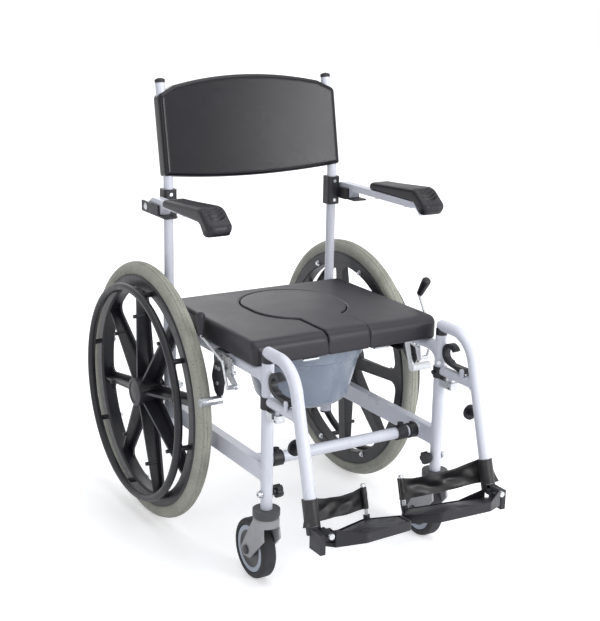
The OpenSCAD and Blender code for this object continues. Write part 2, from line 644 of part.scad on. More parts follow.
// the underside is hollowed between crossing ribs
module foot_pockets() difference() {
    intersection() {
        translate([0, leg_y, 100]) linear_extrude(160) foot_outline(7);
        foot_slab() polygon([[-10, -1], [post_x + 20, -1], [post_x + 20, 4.5], [-10, 4.5]]);
    }
    for (i = [0:5]) rod_z(100, 300, 70 + i * 22, leg_y - 24, 7);
    for (x = [30:36:180]) box(x - 1.2, x + 1.2, leg_y - 110, leg_y + 90, 100, 300);
    for (y = [-60, -4, 32]) box(0, post_x, leg_y + y - 1.2, leg_y + y + 1.2, 100, 300);
    heel_line() translate([0, 0, -80]) cylinder(h = 60, r = 10);
    box(post_x - 34, post_x, leg_y - 60, leg_y - 15, 100, 300);
}
module foot_plate() {
    c = cos(foot_tilt);
    difference() {
        intersection() {
            translate([0, leg_y, 100]) linear_extrude(160) foot_outline(0);
            foot_slab() polygon([[-10, 0], [post_x + 20, 0], [post_x + 20, 50 * c], [post_x - 64, 20 * c],
                [-10, 20 * c]]);
        }
        intersection() {
            translate([0, leg_y, 100]) linear_extrude(160) foot_outline(4);
            foot_slab() polygon([[-10, 8], [post_x + 20, 8], [post_x + 20, 80], [-10, 80]]);
        }
        box(post_x - 15.5, post_x + 30, leg_y - 60, leg_y + 20, 100, 300);
        for (i = [0:5]) rod_z(100, 300, 70 + i * 22, leg_y - 24, 3);
        foot_pockets();
    }
    difference() {
        heel_line() translate([0, 0, -66]) cylinder(h = 20, r = 7);
        heel_line() translate([0, 0, -52]) cylinder(h = 20, r = 4 + weld_gap);
        foot_slab() translate([-10, -80]) square([400, 80]);
    }
    for (k = [[-52, -40], [-32, -23]]) difference() {
        union() {
            rod_y(leg_y + k[0], leg_y + k[1], hinge_x, hinge_z, 7);
            box(post_x - 24, hinge_x, leg_y + k[0], leg_y + k[1], hinge_z - 7, hinge_z + 2);
        }
        rod_y(leg_y + k[0] - 1, leg_y + k[1] + 1, hinge_x, hinge_z, 3 + weld_gap);
    }
}
module foot_plate_r() color(black) right() foot_plate();
module foot_plate_l() color(black) left() foot_plate();
// the heel post and the strap both lie along the leg: z runs up its line, y away behind it
heel_x = 48;
heel_off = 72;
module leg_frame() translate([0, leg_at(232), 232]) rotate([-leg_lean, 0, 0]) children();
module heel_line() leg_frame() translate([heel_x, heel_off, 0]) children();
module heel_rod() {
    heel_line() translate([0, 0, -51.8]) cylinder(h = 66, r = 4);
    heel_line() translate([0, 0, 14]) dome(6.5, 5);
    rod_y(leg_y - 53, leg_y - 22.5, hinge_x, hinge_z, 3);
    rod_y(leg_y - 58, leg_y - 52.3, hinge_x, hinge_z, 6);
}
module heel_rod_r() color(silver) right() heel_rod();
module heel_rod_l() color(silver) left() heel_rod();

// strap: a band behind the heels, sewn in a loop round the leg
module heel_loop() leg_frame() {
    r = tube_d / 2 + seat_gap;
    y1 = heel_off + 4 + seat_gap + 2.4;
    intersection() {
        translate([0, 0, -60]) linear_extrude(120) difference() {
            union() {
                translate([post_x, 0]) circle(r = r + strap_t);
                polygon([[post_x - 3, r - 0.4], [post_x - 3, r + strap_t - 0.4], [heel_x - 5, y1 + strap_t],
                    [heel_x - 5, y1]]);
            }
            translate([post_x, 0]) circle(r = r);
        }
        rotate([90, 0, 0]) translate([0, 0, -200]) linear_extrude(400) polygon([[post_x + 40, -24],
            [post_x + 40, 28], [post_x - 14, 28], [post_x - 60, 13], [post_x - 120, 8], [heel_x - 6, 10],
            [heel_x - 6, -36], [post_x - 110, -34], [post_x - 16, -24]]);
    }
}
module heel_loop_r() color(charcoal) right() heel_loop();
module heel_loop_l() color(charcoal) left() heel_loop();

hook_y = front_y - 39;
hook_z = branch_z + 45;
pivot_y = leg_at(branch_z + 20) + 33;
pivot_z = branch_z + 20;
module hook() difference() {
    side_plate(post_x - 7.5, 15) polygon(concat(
        arc(hook_y, hook_z, 24, 148, -80, 24),
        [[pivot_y + 4, pivot_z + 7.5 - 14]], arc(pivot_y, pivot_z, 6.5, 280, 100, 8),
        [[hook_y - 8, hook_z - 19]],
        arc(hook_y, hook_z, 14, -95, 148, 20)));
    rod_x(post_x - 20, post_x + 20, pivot_y, pivot_z, 3 + run_gap);
}
module hook_r() color(black) right() hook();
module hook_l() color(black) left() hook();

// ---- castors ----
castor_y = front_y + castor_trail;
castor_r = castor_d / 2;
slot_half_w = castor_w / 2 + 1.2;
module castor_fork() {
    head_z = collar_z - seat_gap;
    difference() {
        union() {
            rod_z(head_z - 42, head_z - 4, post_x, front_y, castor_head / 2);
            translate([post_x, front_y, head_z - 4])
                cylinder(h = 4, r1 = castor_head / 2, r2 = castor_head / 2 - 2);
            side_plate(post_x - slot_half_w - 5, 2 * slot_half_w + 10) polygon([[front_y - 20, head_z - 22],
                [front_y + 20, head_z - 12], [castor_y + 24, castor_r - 2], [castor_y + 12, castor_r - 18],
                [castor_y - 14, castor_r - 14], [front_y - 24, head_z - 44]]);
        }
        box(post_x - slot_half_w, post_x + slot_half_w, front_y - 60, castor_y + 60, -1, castor_d + 5);
        rod_x(post_x - 60, post_x + 60, castor_y, castor_r, 4 + weld_gap);
    }
    rod_z(head_z - 2, bolt_z - 10, post_x, front_y, stem_d / 2);
}
module castor_fork_r() color("#8b8580") right() castor_fork();
module castor_fork_l() color("#8b8580") left() castor_fork();
module castor_spin() translate([post_x, castor_y, castor_r]) rotate([0, 90, 0]) children();
module castor_tyre() castor_spin() rotate_extrude($fn = 96) difference() {
    hull() {
        translate([castor_r - 13, -castor_w / 2]) square([1, castor_w]);
        for (s = [-1, 1]) translate([castor_r - 7, s * (castor_w / 2 - 7)]) circle(r = 7, $fn = 32);
    }
    translate([0, -castor_w]) square([castor_r - castor_tyre_t, 2 * castor_w]);
}
module castor_tyre_r() color("#2a2a2c") right() castor_tyre();
module castor_tyre_l() color("#2a2a2c") left() castor_tyre();
hub_r = castor_r - castor_tyre_t - weld_gap;
module castor_hub() castor_spin() difference() {
    rotate_extrude($fn = 96) polygon([[0, -castor_w / 2 - 0.6], [15, -castor_w / 2 - 0.6],
        [17, -castor_w / 2 + 4], [castor_r - 32, -castor_w / 2 + 4], [castor_r - 24, -castor_w / 2 + 1],
        [hub_r, -castor_w / 2 + 1], [hub_r, castor_w / 2 - 1],
        [castor_r - 24, castor_w / 2 - 1], [castor_r - 32, castor_w / 2 - 4], [17, castor_w / 2 - 4],
        [15, castor_w / 2 + 0.6], [0, castor_w / 2 + 0.6]]);
    cylinder(h = 60, r = 4 + run_gap, center = true);
}
module castor_hub_r() color("#a9b4be") right() castor_hub();
module castor_hub_l() color("#a9b4be") left() castor_hub();
module castor_axle() castor_spin() {
    edge = slot_half_w + 5 + 0.3;
    translate([0, 0, -edge - 3]) cylinder(h = 2 * edge + 6, r = 4);
    translate([0, 0, -edge - 6]) cylinder(h = 6, r = 8, $fn = 6);
    translate([0, 0, edge]) cylinder(h = 4, r = 10);
    translate([0, 0, edge + 4]) dome(10, 2.5);
}
module castor_axle_r() color(silver) right() castor_axle();
module castor_axle_l() color(silver) left() castor_axle();

// ---- rear wheels, drawn flat with z towards the outside ----
module wheel_spin(turn = 0) translate([track_x, 0, axle_z]) rotate([0, 90, 0]) rotate([0, 0, turn])
    children();
// once for every spoke, or with 0.5 for every gap between two
module each_spoke(shift = 0) for (i = [0:spokes - 1]) rotate([0, 0, (i + shift) * 360 / spokes]) children();
module spoke_window(w) {
    half = spoke_w / 2;
    step = 360 / spokes;
    ro = rim_in - 0.4;
    f = 19;
    g = 9;
    cx = sqrt((ro - f) * (ro - f) - (half + f) * (half + f));
    a = atan2(half + f, cx);
    d = (half + g) / sin(step / 2);
    up = [cx * cos(step) + (half + f) * sin(step), cx * sin(step) - (half + f) * cos(step)];
    polygon(concat(arc(d * cos(step / 2), d * sin(step / 2), g, 90 + step, 270, 8),
        arc(cx, half + f, f, -90, a, 8), arc(0, 0, ro, a + 1.5, step - a - 1.5, 6),
        arc(up[0], up[1], f, step - a, 90 + step, 8)));
}
module wheel_rim(turn) wheel_spin(turn) difference() {
    union() {
        rotate_extrude($fn = 128) difference() {
            polygon([[rim_in, -rim_half + 5], [rim_in + 3, -rim_half], [rim_out - 3, -rim_half],
                [rim_out + 3, -rim_half + 4], [rim_out + 3, rim_half - 4], [rim_out - 3, rim_half],
                [rim_in + 3, rim_half], [rim_in, rim_half - 5]]);
            translate([tyre_r, 0]) circle(d = tyre_w + 0.4);
        }
        translate([0, 0, -14]) linear_extrude(5) difference() {
            circle(r = rim_in + 4, $fn = 128);
            each_spoke() spoke_window();
        }
        each_spoke() rotate([90, 0, 0]) translate([0, 0, -rib_t / 2]) linear_extrude(rib_t)
            polygon([[20, -10], [rim_in + 6, -10], [rim_in + 6, 9], [28, 27], [20, 27]]);
        translate([0, 0, -28]) cylinder(h = 50, r = hub_d / 2);
        each_spoke(0.5) rotate([90, 0, 0]) translate([0, 0, -2]) linear_extrude(4)
            polygon([[20, -12], [hub_d / 2 + 7, -12], [hub_d / 2 + 1, 20], [20, 20]]);
        each_spoke() translate([rim_in * 0.72, 0, -10]) cylinder(h = 33, r = 4.5);
        translate([0, 0, 22]) cylinder(h = 4, r1 = hub_d / 2, r2 = 24);
        translate([0, 0, 25.5]) dome(22, 4.5);
    }
    translate([0, 0, -30]) cylinder(h = 53, r = axle_d / 2 + run_gap);
}
module wheel_rim_r() color(black) right() wheel_rim(turn_right);
module wheel_rim_l() color(black) left() wheel_rim(turn_left);
module wheel_tyre() wheel_spin() rotate_extrude($fn = 128) difference() {
    translate([tyre_r, 0]) circle(d = tyre_w);
    for (k = [-26, 0, 26]) translate([tyre_r + tyre_w / 2 * cos(k), tyre_w / 2 * sin(k)])
        circle(r = 1.2, $fn = 16);
}
module wheel_tyre_r() color("#8f9488") right() wheel_tyre();
module wheel_tyre_l() color("#8f9488") left() wheel_tyre();
module handrim(turn) wheel_spin(turn) {
    r = rim_in + 5;
    rotate_extrude($fn = 128) translate([r, handrim_out]) circle(d = handrim_t);
    each_spoke(0.5) translate([r + 3, 0, rim_half + seat_gap])
        cylinder(h = handrim_out - rim_half - 4, r = 6);
}
module handrim_r() color(black) right() handrim(turn_right);
module handrim_l() color(black) left() handrim(turn_left);

// ---- brakes: the left one is on, the right one is off ----
arm_len = 70;
brake_z = rail_z - 22;
brake_y = -sqrt(pow(axle_z + 29, 2) - pow(brake_z - axle_z, 2));
lever_y = brake_y - 42;
lever_z = brake_z - 2;
plate_x = post_x + 19;
bar_r = 9.5;
grip_swing = 40;
arm_swing = 16.5;
// the bar's centre lies on two circles: one about the axle, one about its own pivot
bar_reach = axle_z + bar_r + 0.4;
reach_q = sqrt(brake_y * brake_y + pow(brake_z - axle_z, 2));
angle_q = acos((reach_q * reach_q + arm_len * arm_len - bar_reach * bar_reach) / (2 * reach_q * arm_len));
angle_on = atan2(axle_z - brake_z, -brake_y) - angle_q;

module brake_bases() color(silver) pair() difference() {
    union() {
        box(post_x + 4, plate_x, brake_y - 12, brake_y + 33, rail_z - 21, rail_z + 11);
        side_plate(plate_x - eps, 4) hull() {
            translate([brake_y + 25, rail_z + 2]) circle(r = 8, $fn = 32);
            translate([brake_y + 25, rail_z - 12]) circle(r = 8, $fn = 32);
            translate([lever_y, lever_z]) circle(r = 10, $fn = 32);
            translate([lever_y, rail_z + 1]) circle(r = 9, $fn = 32);
        }
    }
    rod_y(-frame_l, 0, post_x, rail_z, tube_d / 2 + weld_gap);
    for (y = [brake_y - 4, brake_y + 25]) rod_x(post_x + 16, plate_x + 5, y, rail_z + 5, 3.2);
    rod_x(plate_x - 10, plate_x + 5, brake_y, brake_z, 4 + run_gap);
    rod_x(plate_x - 10, plate_x + 5, lever_y, lever_z, 4 + run_gap);
}
module brake_arm(turn) translate([0, brake_y, brake_z]) rotate([angle_on + turn, 0, 0]) {
    side_plate(plate_x + 4.3, 4) difference() {
        hull() {
            circle(r = 10, $fn = 32);
            translate([arm_len, 0]) circle(r = 8, $fn = 32);
        }
    }
    rod_x(plate_x + 4.5, track_x + 19, arm_len, 0, bar_r);
    rod_x(plate_x - 8, plate_x + 5, 0, 0, 4);
}
module brake_arm_r() color(silver) right() brake_arm(-arm_swing);
module brake_arm_l() color(silver) left() brake_arm(0);
module lever_frame(turn) translate([0, lever_y, lever_z]) rotate([turn, 0, 0]) children();
module brake_lever(turn) lever_frame(turn) {
    side_plate(plate_x + 4.3, 4) hull() {
        circle(r = 10, $fn = 32);
        translate([-29, -19]) circle(r = 7, $fn = 32);
    }
    rod_x(plate_x - 8, plate_x + 5, 0, 0, 4);
    rod_x(plate_x + 6, plate_x + 28, -29, -19, 5);
    for (p = [[[-29, -19], [-8, 31]], [[-8, 31], [89, 61]]])
        let (d = p[1] - p[0]) translate([plate_x + 26, p[0][0], p[0][1]]) rotate([-atan2(d[0], d[1]), 0, 0])
            cylinder(h = norm(d), r = 3);
    translate([plate_x + 26, -8, 31]) sphere(r = 3.6);
    translate([plate_x + 26, 89, 61]) sphere(r = 3.6);
    translate([plate_x + 26, 89, 61]) rotate([-7, 0, 0]) cylinder(h = 40, r = 3);
}
module brake_lever_r() color(silver) right() brake_lever(grip_swing);
module brake_lever_l() color(silver) left() brake_lever(0);
module brake_grip(turn) lever_frame(turn) translate([plate_x + 26, 89, 61]) rotate([-7, 0, 0]) difference() {
    union() {
        translate([0, 0, 4]) cylinder(h = 38, r1 = 7.5, r2 = 10.5);
        translate([0, 0, 42]) cylinder(h = 5, r1 = 10.5, r2 = 10);
        translate([0, 0, 47]) dome(10, 6);
    }
    translate([0, 0, 3]) cylinder(h = 38, r = 3 + weld_gap);
}
module brake_grip_r() color(black) right() brake_grip(grip_swing);
module brake_grip_l() color(black) left() brake_grip(0);

front_posts();
rear_posts();
side_rails();
lower_rails();
cross_tubes();
tube_clamps();
post_collars();
catch_blocks();
lock_knobs();
post_bolts();
wheel_axles();
castor_collars();
brake_bases();
seat_base();
seat_pad();
seat_lid();
bucket();
back_tubes();
back_pad();
tube_caps();
arm_clamps();
arm_pins();
arm_bar_l();
arm_bar_r();
arm_pad_l();
arm_pad_r();
hanger_tube_l();
hanger_tube_r();
hanger_plug_l();
hanger_plug_r();
foot_socket_l();
foot_socket_r();
foot_plate_l();
foot_plate_r();
heel_rod_l();
heel_rod_r();
heel_loop_l();
heel_loop_r();
hook_l();
hook_r();
castor_fork_l();
castor_fork_r();
castor_tyre_l();
castor_tyre_r();
castor_hub_l();
castor_hub_r();
castor_axle_l();
castor_axle_r();
wheel_rim_l();
wheel_rim_r();
wheel_tyre_l();
wheel_tyre_r();
handrim_l();
handrim_r();
brake_arm_l();
brake_arm_r();
brake_lever_l();
brake_lever_r();
brake_grip_l();
brake_grip_r();
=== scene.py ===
import math

import bmesh
import bpy
import numpy as np
from mathutils import Matrix, Vector
from mathutils.geometry import delaunay_2d_cdt


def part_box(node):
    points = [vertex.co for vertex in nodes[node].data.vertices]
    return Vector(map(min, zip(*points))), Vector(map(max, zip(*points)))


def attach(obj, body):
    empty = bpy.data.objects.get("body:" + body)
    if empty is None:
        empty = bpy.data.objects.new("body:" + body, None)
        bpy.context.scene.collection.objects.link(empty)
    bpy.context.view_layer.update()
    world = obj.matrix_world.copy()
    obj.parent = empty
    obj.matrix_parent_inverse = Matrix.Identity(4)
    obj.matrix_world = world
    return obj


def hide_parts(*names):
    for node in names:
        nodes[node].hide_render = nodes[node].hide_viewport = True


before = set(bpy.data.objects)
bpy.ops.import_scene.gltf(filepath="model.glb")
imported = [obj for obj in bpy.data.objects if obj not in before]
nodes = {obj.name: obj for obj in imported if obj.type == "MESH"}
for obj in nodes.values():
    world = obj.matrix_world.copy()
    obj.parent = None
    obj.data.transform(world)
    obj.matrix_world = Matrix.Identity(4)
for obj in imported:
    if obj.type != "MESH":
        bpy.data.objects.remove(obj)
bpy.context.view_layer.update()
print("frame loaded:", len(nodes), "nodes")


def lowHigh(node):  # a node's box in millimetres
    low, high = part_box(node)
    return low * 1000, high * 1000


axleLow, axleHigh = lowHigh("wheel_axles")
axleY = (axleLow.y + axleHigh.y) / 2  # lengths below are counted from the rear axle, in millimetres
axleZ = (axleLow.z + axleHigh.z) / 2
sides = {"l": -1, "r": 1}


# materials: every finish is named for what it is and how it was made

def toLinear(hexColour):
    parts = [int(hexColour[i:i + 2], 16) / 255 for i in (1, 3, 5)]
    return [c / 12.92 if c <= 0.04045 else ((c + 0.055) / 1.055) ** 2.4 for c in parts] + [1.0]


def addNode(tree, kind, values=None, output=0):
    # sockets among the values are linked, the others set on the node or its input; output None gives the node
    node = tree.nodes.new(kind)
    for name, value in (values or {}).items():
        if isinstance(value, bpy.types.NodeSocket):
            tree.links.new(value, node.inputs[name])
        elif isinstance(name, int) or name in node.inputs and not hasattr(node, str(name)):
            node.inputs[name].default_value = value
        else:
            setattr(node, name, value)
    return node if output is None else node.outputs[output]


def mathNode(tree, operation, *values, kind="ShaderNodeMath", output=0):
    return addNode(tree, kind, {"operation": operation, **dict(enumerate(values))}, output)


class Finish:  # a material and the nodes that give it its look; sizes are in millimetres
    def __init__(self, name, colour, roughness, **extra):
        self.material = bpy.data.materials.new(name)
        self.material.use_nodes = True
        self.tree = self.material.node_tree
        self.shader = self.tree.nodes["Principled BSDF"]
        for key, value in {"Base Color": toLinear(colour), "Roughness": roughness, **extra}.items():
            self.shader.inputs[key.replace("_", " ")].default_value = value
        self.place = addNode(self.tree, "ShaderNodeTexCoord", output="Object")

    def grain(self, size, detail=2.0):  # noise whose features are this far across
        values = {"Scale": 1000 / size / 2, "Detail": detail, "Roughness": 0.5, "Vector": self.place}
        return addNode(self.tree, "ShaderNodeTexNoise", values)

    def spread(self, factor, low, high, fromLow=0.3, fromHigh=0.7):  # maps one range of values to another
        values = {"From Min": fromLow, "From Max": fromHigh, "To Min": low, "To Max": high, "Value": factor}
        return addNode(self.tree, "ShaderNodeMapRange", values)

    def tint(self, factor, dark, light, low=0.3, high=0.7):
        ramp = addNode(self.tree, "ShaderNodeValToRGB", {"Fac": factor}, None)
        for stop, position, colour in zip(ramp.color_ramp.elements, (low, high), (dark, light)):
            stop.position = position
            stop.color = toLinear(colour)
        return ramp.outputs["Color"]

    def mix(self, first, second, factor, blend="MIX"):
        values = {"data_type": "RGBA", "blend_type": blend, 0: factor, 6: first, 7: second}
        return addNode(self.tree, "ShaderNodeMix", values, 2)

    def wire(self, **sources):
        for key, source in sources.items():
            self.tree.links.new(source, self.shader.inputs[key.replace("_", " ")])

    def mottle(self, dark, light, tones, low, high, gloss):
        # drifts between two colours and two values of roughness; tones and gloss are a size and a detail
        self.wire(Base_Color=self.tint(self.grain(*tones), dark, light),
                  Roughness=self.spread(self.grain(*gloss), low, high))

    def bump(self, height, depth, strength=1.0, **base):
        made = addNode(self.tree, "ShaderNodeBump",
                       {"Strength": strength, "Distance": depth / 1000, "Height": height, **base})
        self.wire(Normal=made)
        return made

    def softEdge(self, radius):  # shades a crisp corner as the small radius that the mould leaves
        return addNode(self.tree, "ShaderNodeBevel", {"samples": 6, "Radius": radius / 1000})


def makePowderCoat():
    # polyester powder baked on steel tube: pale, half gloss, with a faint orange peel about 2 mm across
    finish = Finish("powderCoatedSteelWhite", "#d5d8e3", 0.3)
    finish.mottle("#d4d7e2", "#d8dbe5", (120, 1), 0.27, 0.33, (30, 1))
    finish.bump(finish.grain(2.2), 0.02, 0.4)
    return finish.material


def makeNylon(name, dark, light, low, high, size=0.9, depth=0.05):
    # glass filled nylon, or the castors' rubber, from a spark eroded mould: dull, with a fine even grain drawn
    # about 1 mm so that it shows
    finish = Finish(name, dark, low, Specular_IOR_Level=0.42)
    finish.mottle(dark, light, (45, 4), low, high, (9, 3))
    finish.bump(finish.grain(size, 1), depth, 0.6, Normal=finish.softEdge(0.8))
    return finish.material


def makeSkinFoam(name, dark, light, low, high, shine):
    # integral skin polyurethane foam: a closed leathery skin taken from the mould, satin, with fine pores
    finish = Finish(name, light, low, Specular_IOR_Level=shine)
    finish.mottle(dark, light, (90, 3), low, high, (40, 2))
    poreSize = 2.2
    cells = addNode(finish.tree, "ShaderNodeTexVoronoi", {
        "feature": "DISTANCE_TO_EDGE", "Scale": 1000 / poreSize, "Vector": finish.place}, "Distance")
    soft = finish.bump(finish.grain(36, 2), 0.3, 0.3)
    finish.bump(finish.spread(cells, 0.0, 1.0, 0.0, 0.18), 0.08, 0.3, Normal=soft)
    return finish.material


def makePlatedSteel():
    # bright zinc plate over drawn steel: a grey metal, with drawing marks that streak its gloss
    finish = Finish("zincPlatedSteel", "#c3c6ca", 0.32, Metallic=1.0)
    drawn = addNode(finish.tree, "ShaderNodeMapping", {"Scale": (40.0, 420.0, 420.0), "Vector": finish.place})
    marks = addNode(finish.tree, "ShaderNodeTexNoise", {"Scale": 1.0, "Detail": 3.0, "Vector": drawn})
    finish.wire(Base_Color=finish.tint(finish.grain(8, 4), "#b4b7bb", "#cdd0d4"),
                Roughness=finish.spread(marks, 0.22, 0.42))
    finish.bump(marks, 0.01, 0.3)
    return finish.material


def makeTyre():
    # solid polyurethane tyre: grey green, matt and dusty, with fine scuffs round the tread
    finish = Finish("polyurethaneTyreGrey", "#8f9286", 0.7)
    blotch = finish.tint(finish.grain(22, 5), "#9b9c92", "#aeaea3")
    specks = finish.tint(finish.grain(1.6, 1), "#c9cbc4", "#ffffff", 0.3, 0.4)
    finish.wire(Base_Color=finish.mix(blotch, specks, 1.0, "MULTIPLY"),
                Roughness=finish.spread(finish.grain(10, 3), 0.66, 0.86))
    finish.bump(finish.grain(1.5, 2), 0.12, 0.5)
    return finish.material


def makePolypropylene():
    # injection moulded polypropylene pan: blue grey, smooth and a little waxy
    finish = Finish("polypropyleneBlueGrey", "#8791a1", 0.26)
    finish.mottle("#838d9d", "#8b95a5", (90, 3), 0.22, 0.32, (30, 2))
    finish.bump(finish.grain(14, 2), 0.05, 0.4)
    return finish.material


def makeWebbing():
    # woven nylon webbing: ribs along the strap crossed by weft, drawn 2 mm apart to show, with a soft sheen;
    # painted shade darkens the hollows of the weave
    finish = Finish("wovenNylonWebbing", "#17171a", 0.44, Sheen_Weight=0.08, Sheen_Roughness=0.4)
    across = addNode(finish.tree, "ShaderNodeUVMap")
    ribs = []
    for direction, size in (("X", 2.0), ("Y", 2.6)):
        values = {"bands_direction": direction, "Scale": 314 / size, "Distortion": 0.6, "Detail": 1.0}
        ribs.append(addNode(finish.tree, "ShaderNodeTexWave", {**values, "Vector": across}, "Fac"))
    both = mathNode(finish.tree, "MULTIPLY", *ribs)
    # painted shade: the colour follows the height of the weave, darker in its hollows and lighter on its ribs
    finish.wire(Base_Color=finish.tint(both, "#121214", "#202024", 0.1, 0.9))
    finish.bump(both, 0.15, 0.5)
    return finish.material


def makeCastorHub():
    # two shot moulded nylon hub: a pale ring between the tread and a dark disc, parted at a fixed radius
    finish = Finish("twoShotNylonHub", "#45454a", 0.42, Specular_IOR_Level=0.42)
    low, high = lowHigh("castor_tyre_l")
    middle = (0, (low.y + high.y) / 2000, (low.z + high.z) / 2000)
    inner, blur = 0.62 * (high.z - low.z) / 2000, 0.0002
    away = finish.place
    for operation, value in (("SUBTRACT", middle), ("MULTIPLY", (0, 1, 1))):
        away = mathNode(finish.tree, operation, away, value, kind="ShaderNodeVectorMath")
    radius = mathNode(finish.tree, "LENGTH", away, kind="ShaderNodeVectorMath", output="Value")
    ring = finish.spread(radius, 0.0, 1.0, inner - blur, inner + blur)
    disc = finish.tint(finish.grain(30, 3), "#434347", "#4c4c51")
    band = finish.tint(finish.grain(30, 3), "#a3acb9", "#adb5c1")
    finish.wire(Base_Color=finish.mix(disc, band, ring),
                Roughness=finish.spread(finish.grain(9, 3), 0.38, 0.5))
    finish.bump(ring, 0.6, 0.6, Normal=finish.softEdge(0.8))
    return finish.material


def makeStitchThread():
    # spun polyester sewing thread: dark grey and matt, with a fine twist
    finish = Finish("polyesterThread", "#3a3a3e", 0.6)
    finish.bump(finish.grain(0.5), 0.1, 0.5)
    return finish.material


powderCoat = makePowderCoat()
wheelNylon = makeNylon("glassFilledNylonBlack", "#19191f", "#202026", 0.36, 0.46)
grainedNylon = makeNylon("grainedNylonBlack", "#17171d", "#1f1f26", 0.4, 0.52, 1.1, 0.08)
forkNylon = makeNylon("mouldedNylonMidGrey", "#9e9ea2", "#a7a7ab", 0.45, 0.6)
collarNylon = makeNylon("mouldedNylonDarkGrey", "#434346", "#4d4d50", 0.42, 0.55)
hubNylon = makeCastorHub()
castorRubber = makeNylon("mouldedRubberCharcoal", "#2b2b2e", "#37373a", 0.7, 0.85, 1.4, 0.1)
skinFoam = makeSkinFoam("integralSkinFoamCharcoal", "#201f26", "#24232b", 0.42, 0.47, 0.4)
armFoam = makeSkinFoam("integralSkinFoamArm", "#17161c", "#1b1a21", 0.42, 0.47, 0.36)
backFoam = makeSkinFoam("integralSkinFoamPolished", "#111016", "#15141b", 0.23, 0.26, 0.28)
platedSteel = makePlatedSteel()
tyreGrey = makeTyre()
panPlastic = makePolypropylene()
webbing = makeWebbing()
thread = makeStitchThread()

# a star stands for both sides
finishes = {
    powderCoat: "front_posts rear_posts side_rails lower_rails cross_tubes back_tubes arm_bar_* "
                "hanger_tube_*",
    grainedNylon: "tube_clamps post_collars lock_knobs seat_base tube_caps arm_clamps hanger_plug_* "
                  "foot_socket_* foot_plate_* hook_* brake_grip_*",
    wheelNylon: "wheel_rim_* handrim_*",
    platedSteel: "catch_blocks post_bolts wheel_axles brake_bases arm_pins heel_rod_* brake_arm_* "
                 "brake_lever_*",
    tyreGrey: "wheel_tyre_*",
    forkNylon: "castor_fork_*",
    collarNylon: "castor_collars castor_axle_*",
    hubNylon: "castor_hub_*",
    castorRubber: "castor_tyre_*",
    panPlastic: "bucket",
    skinFoam: "seat_pad seat_lid back_pad arm_pad_* heel_loop_*",
}
missing = set(nodes)
for material, names in finishes.items():
    for name in {n.replace("*", side) for n in names.split() for side in sides}:
        missing.discard(name)
        slots = nodes[name].material_slots
        if not slots:
            nodes[name].data.materials.append(material)
        for materialSlot in slots:
            materialSlot.material = material
print("finishes given; without one:", sorted(missing))


# mesh helpers: points are millimetres, y counted from the rear axle

def toWorld(point):
    return (point[0] / 1000, (point[1] + axleY) / 1000, point[2] / 1000)


def addObject(name, data):
    made = bpy.data.objects.new(name, data)
    bpy.context.scene.collection.objects.link(made)
    return made


def smoothFaces(piece, sharpAngle):
    mesh = piece.data
    mesh.polygons.foreach_set("use_smooth", [True] * len(mesh.polygons))
    mesh.set_sharp_from_angle(angle=math.radians(sharpAngle))
    mesh.update()


def meshPiece(name, points, faces, material, sharpAngle, uvOf=None):
    mesh = bpy.data.meshes.new(name)
    mesh.from_pydata([toWorld(p) for p in points], [], faces)
    mesh.validate()
    if uvOf is not None:
        layer = mesh.uv_layers.new(name="length")
        for loop in mesh.loops:
            layer.data[loop.index].uv = uvOf[loop.vertex_index]
    piece = addObject(name, mesh)
    mesh.materials.append(material)
    smoothFaces(piece, sharpAngle)
    return piece


def closedPiece(*parts):  # the same, with doubles merged and every face turned outwards
    piece = meshPiece(*parts)
    bm = bmesh.new()
    bm.from_mesh(piece.data)
    bmesh.ops.remove_doubles(bm, verts=bm.verts, dist=2e-5)
    bmesh.ops.dissolve_degenerate(bm, edges=bm.edges, dist=1e-6)
    bmesh.ops.recalc_face_normals(bm, faces=bm.faces)
    openEdges = sum(not e.is_manifold for e in bm.edges)
    bm.to_mesh(piece.data)
    bm.free()
    print(piece.name, "closed" if not openEdges else "has %d open edges" % openEdges)
    return piece


def ringFaces(rings, n, first=0):  # quads between neighbouring rings of n points each
    faces = []
    for a in range(first, first + (rings - 1) * n, n):
        faces += [[a + k, a + (k + 1) % n, a + n + (k + 1) % n, a + n + k] for k in range(n)]
    return faces


def cappedRings(points, n):  # faces of a closed solid whose rings run from one end to the other
    rings = len(points) // n
    return [list(reversed(range(n))), list(range(len(points) - n, len(points)))] + ringFaces(rings, n)


def blend(a, b, t):
    return a * (1 - t) + b * t


def clip01(value):
    return min(1, max(0, value))


def splitLine(p, q, n):  # n points from p towards q, without q
    return [tuple(a + (b - a) * k / n for a, b in zip(p, q)) for k in range(n)]


def resample(line, step, closed=True):
    out = []
    for p, q in zip(line, line[1:] + (line[:1] if closed else [])):
        out += splitLine(p, q, max(1, int(math.dist(p, q) / step)))
    return out if closed else out + [line[-1]]


def arcPoints(cx, cy, r, a0, a1, n):
    turns = [math.radians(a0 + (a1 - a0) * i / n) for i in range(n + 1)]
    return [(cx + r * math.cos(t), cy + r * math.sin(t)) for t in turns]


def roundCorners(corners):  # from (x, y, radius) to the outline with arcs, about a point for each 3 mm
    out = []
    for i, (x, y, r) in enumerate(corners):
        if r <= 0:
            out.append((x, y))
            continue
        corner = Vector((x, y))
        before = Vector(corners[i - 1][:2]) - corner
        after = Vector(corners[(i + 1) % len(corners)][:2]) - corner
        u, v = before.normalized(), after.normalized()
        half = u.angle(v) / 2
        run = min(r / math.tan(half), before.length * 0.49, after.length * 0.49)
        fitted = run * math.tan(half)
        start, end = corner + u * run, corner + v * run
        centre = corner + (u + v).normalized() * (fitted / math.sin(half))
        n = max(3, int(fitted * (math.pi - 2 * half) / 3))
        s = start - centre
        turn = s.angle_signed(end - centre)
        for k in range(n + 1):
            c, d = math.cos(-turn * k / n), math.sin(-turn * k / n)
            out.append((centre.x + s.x * c - s.y * d, centre.y + s.x * d + s.y * c))
    return out


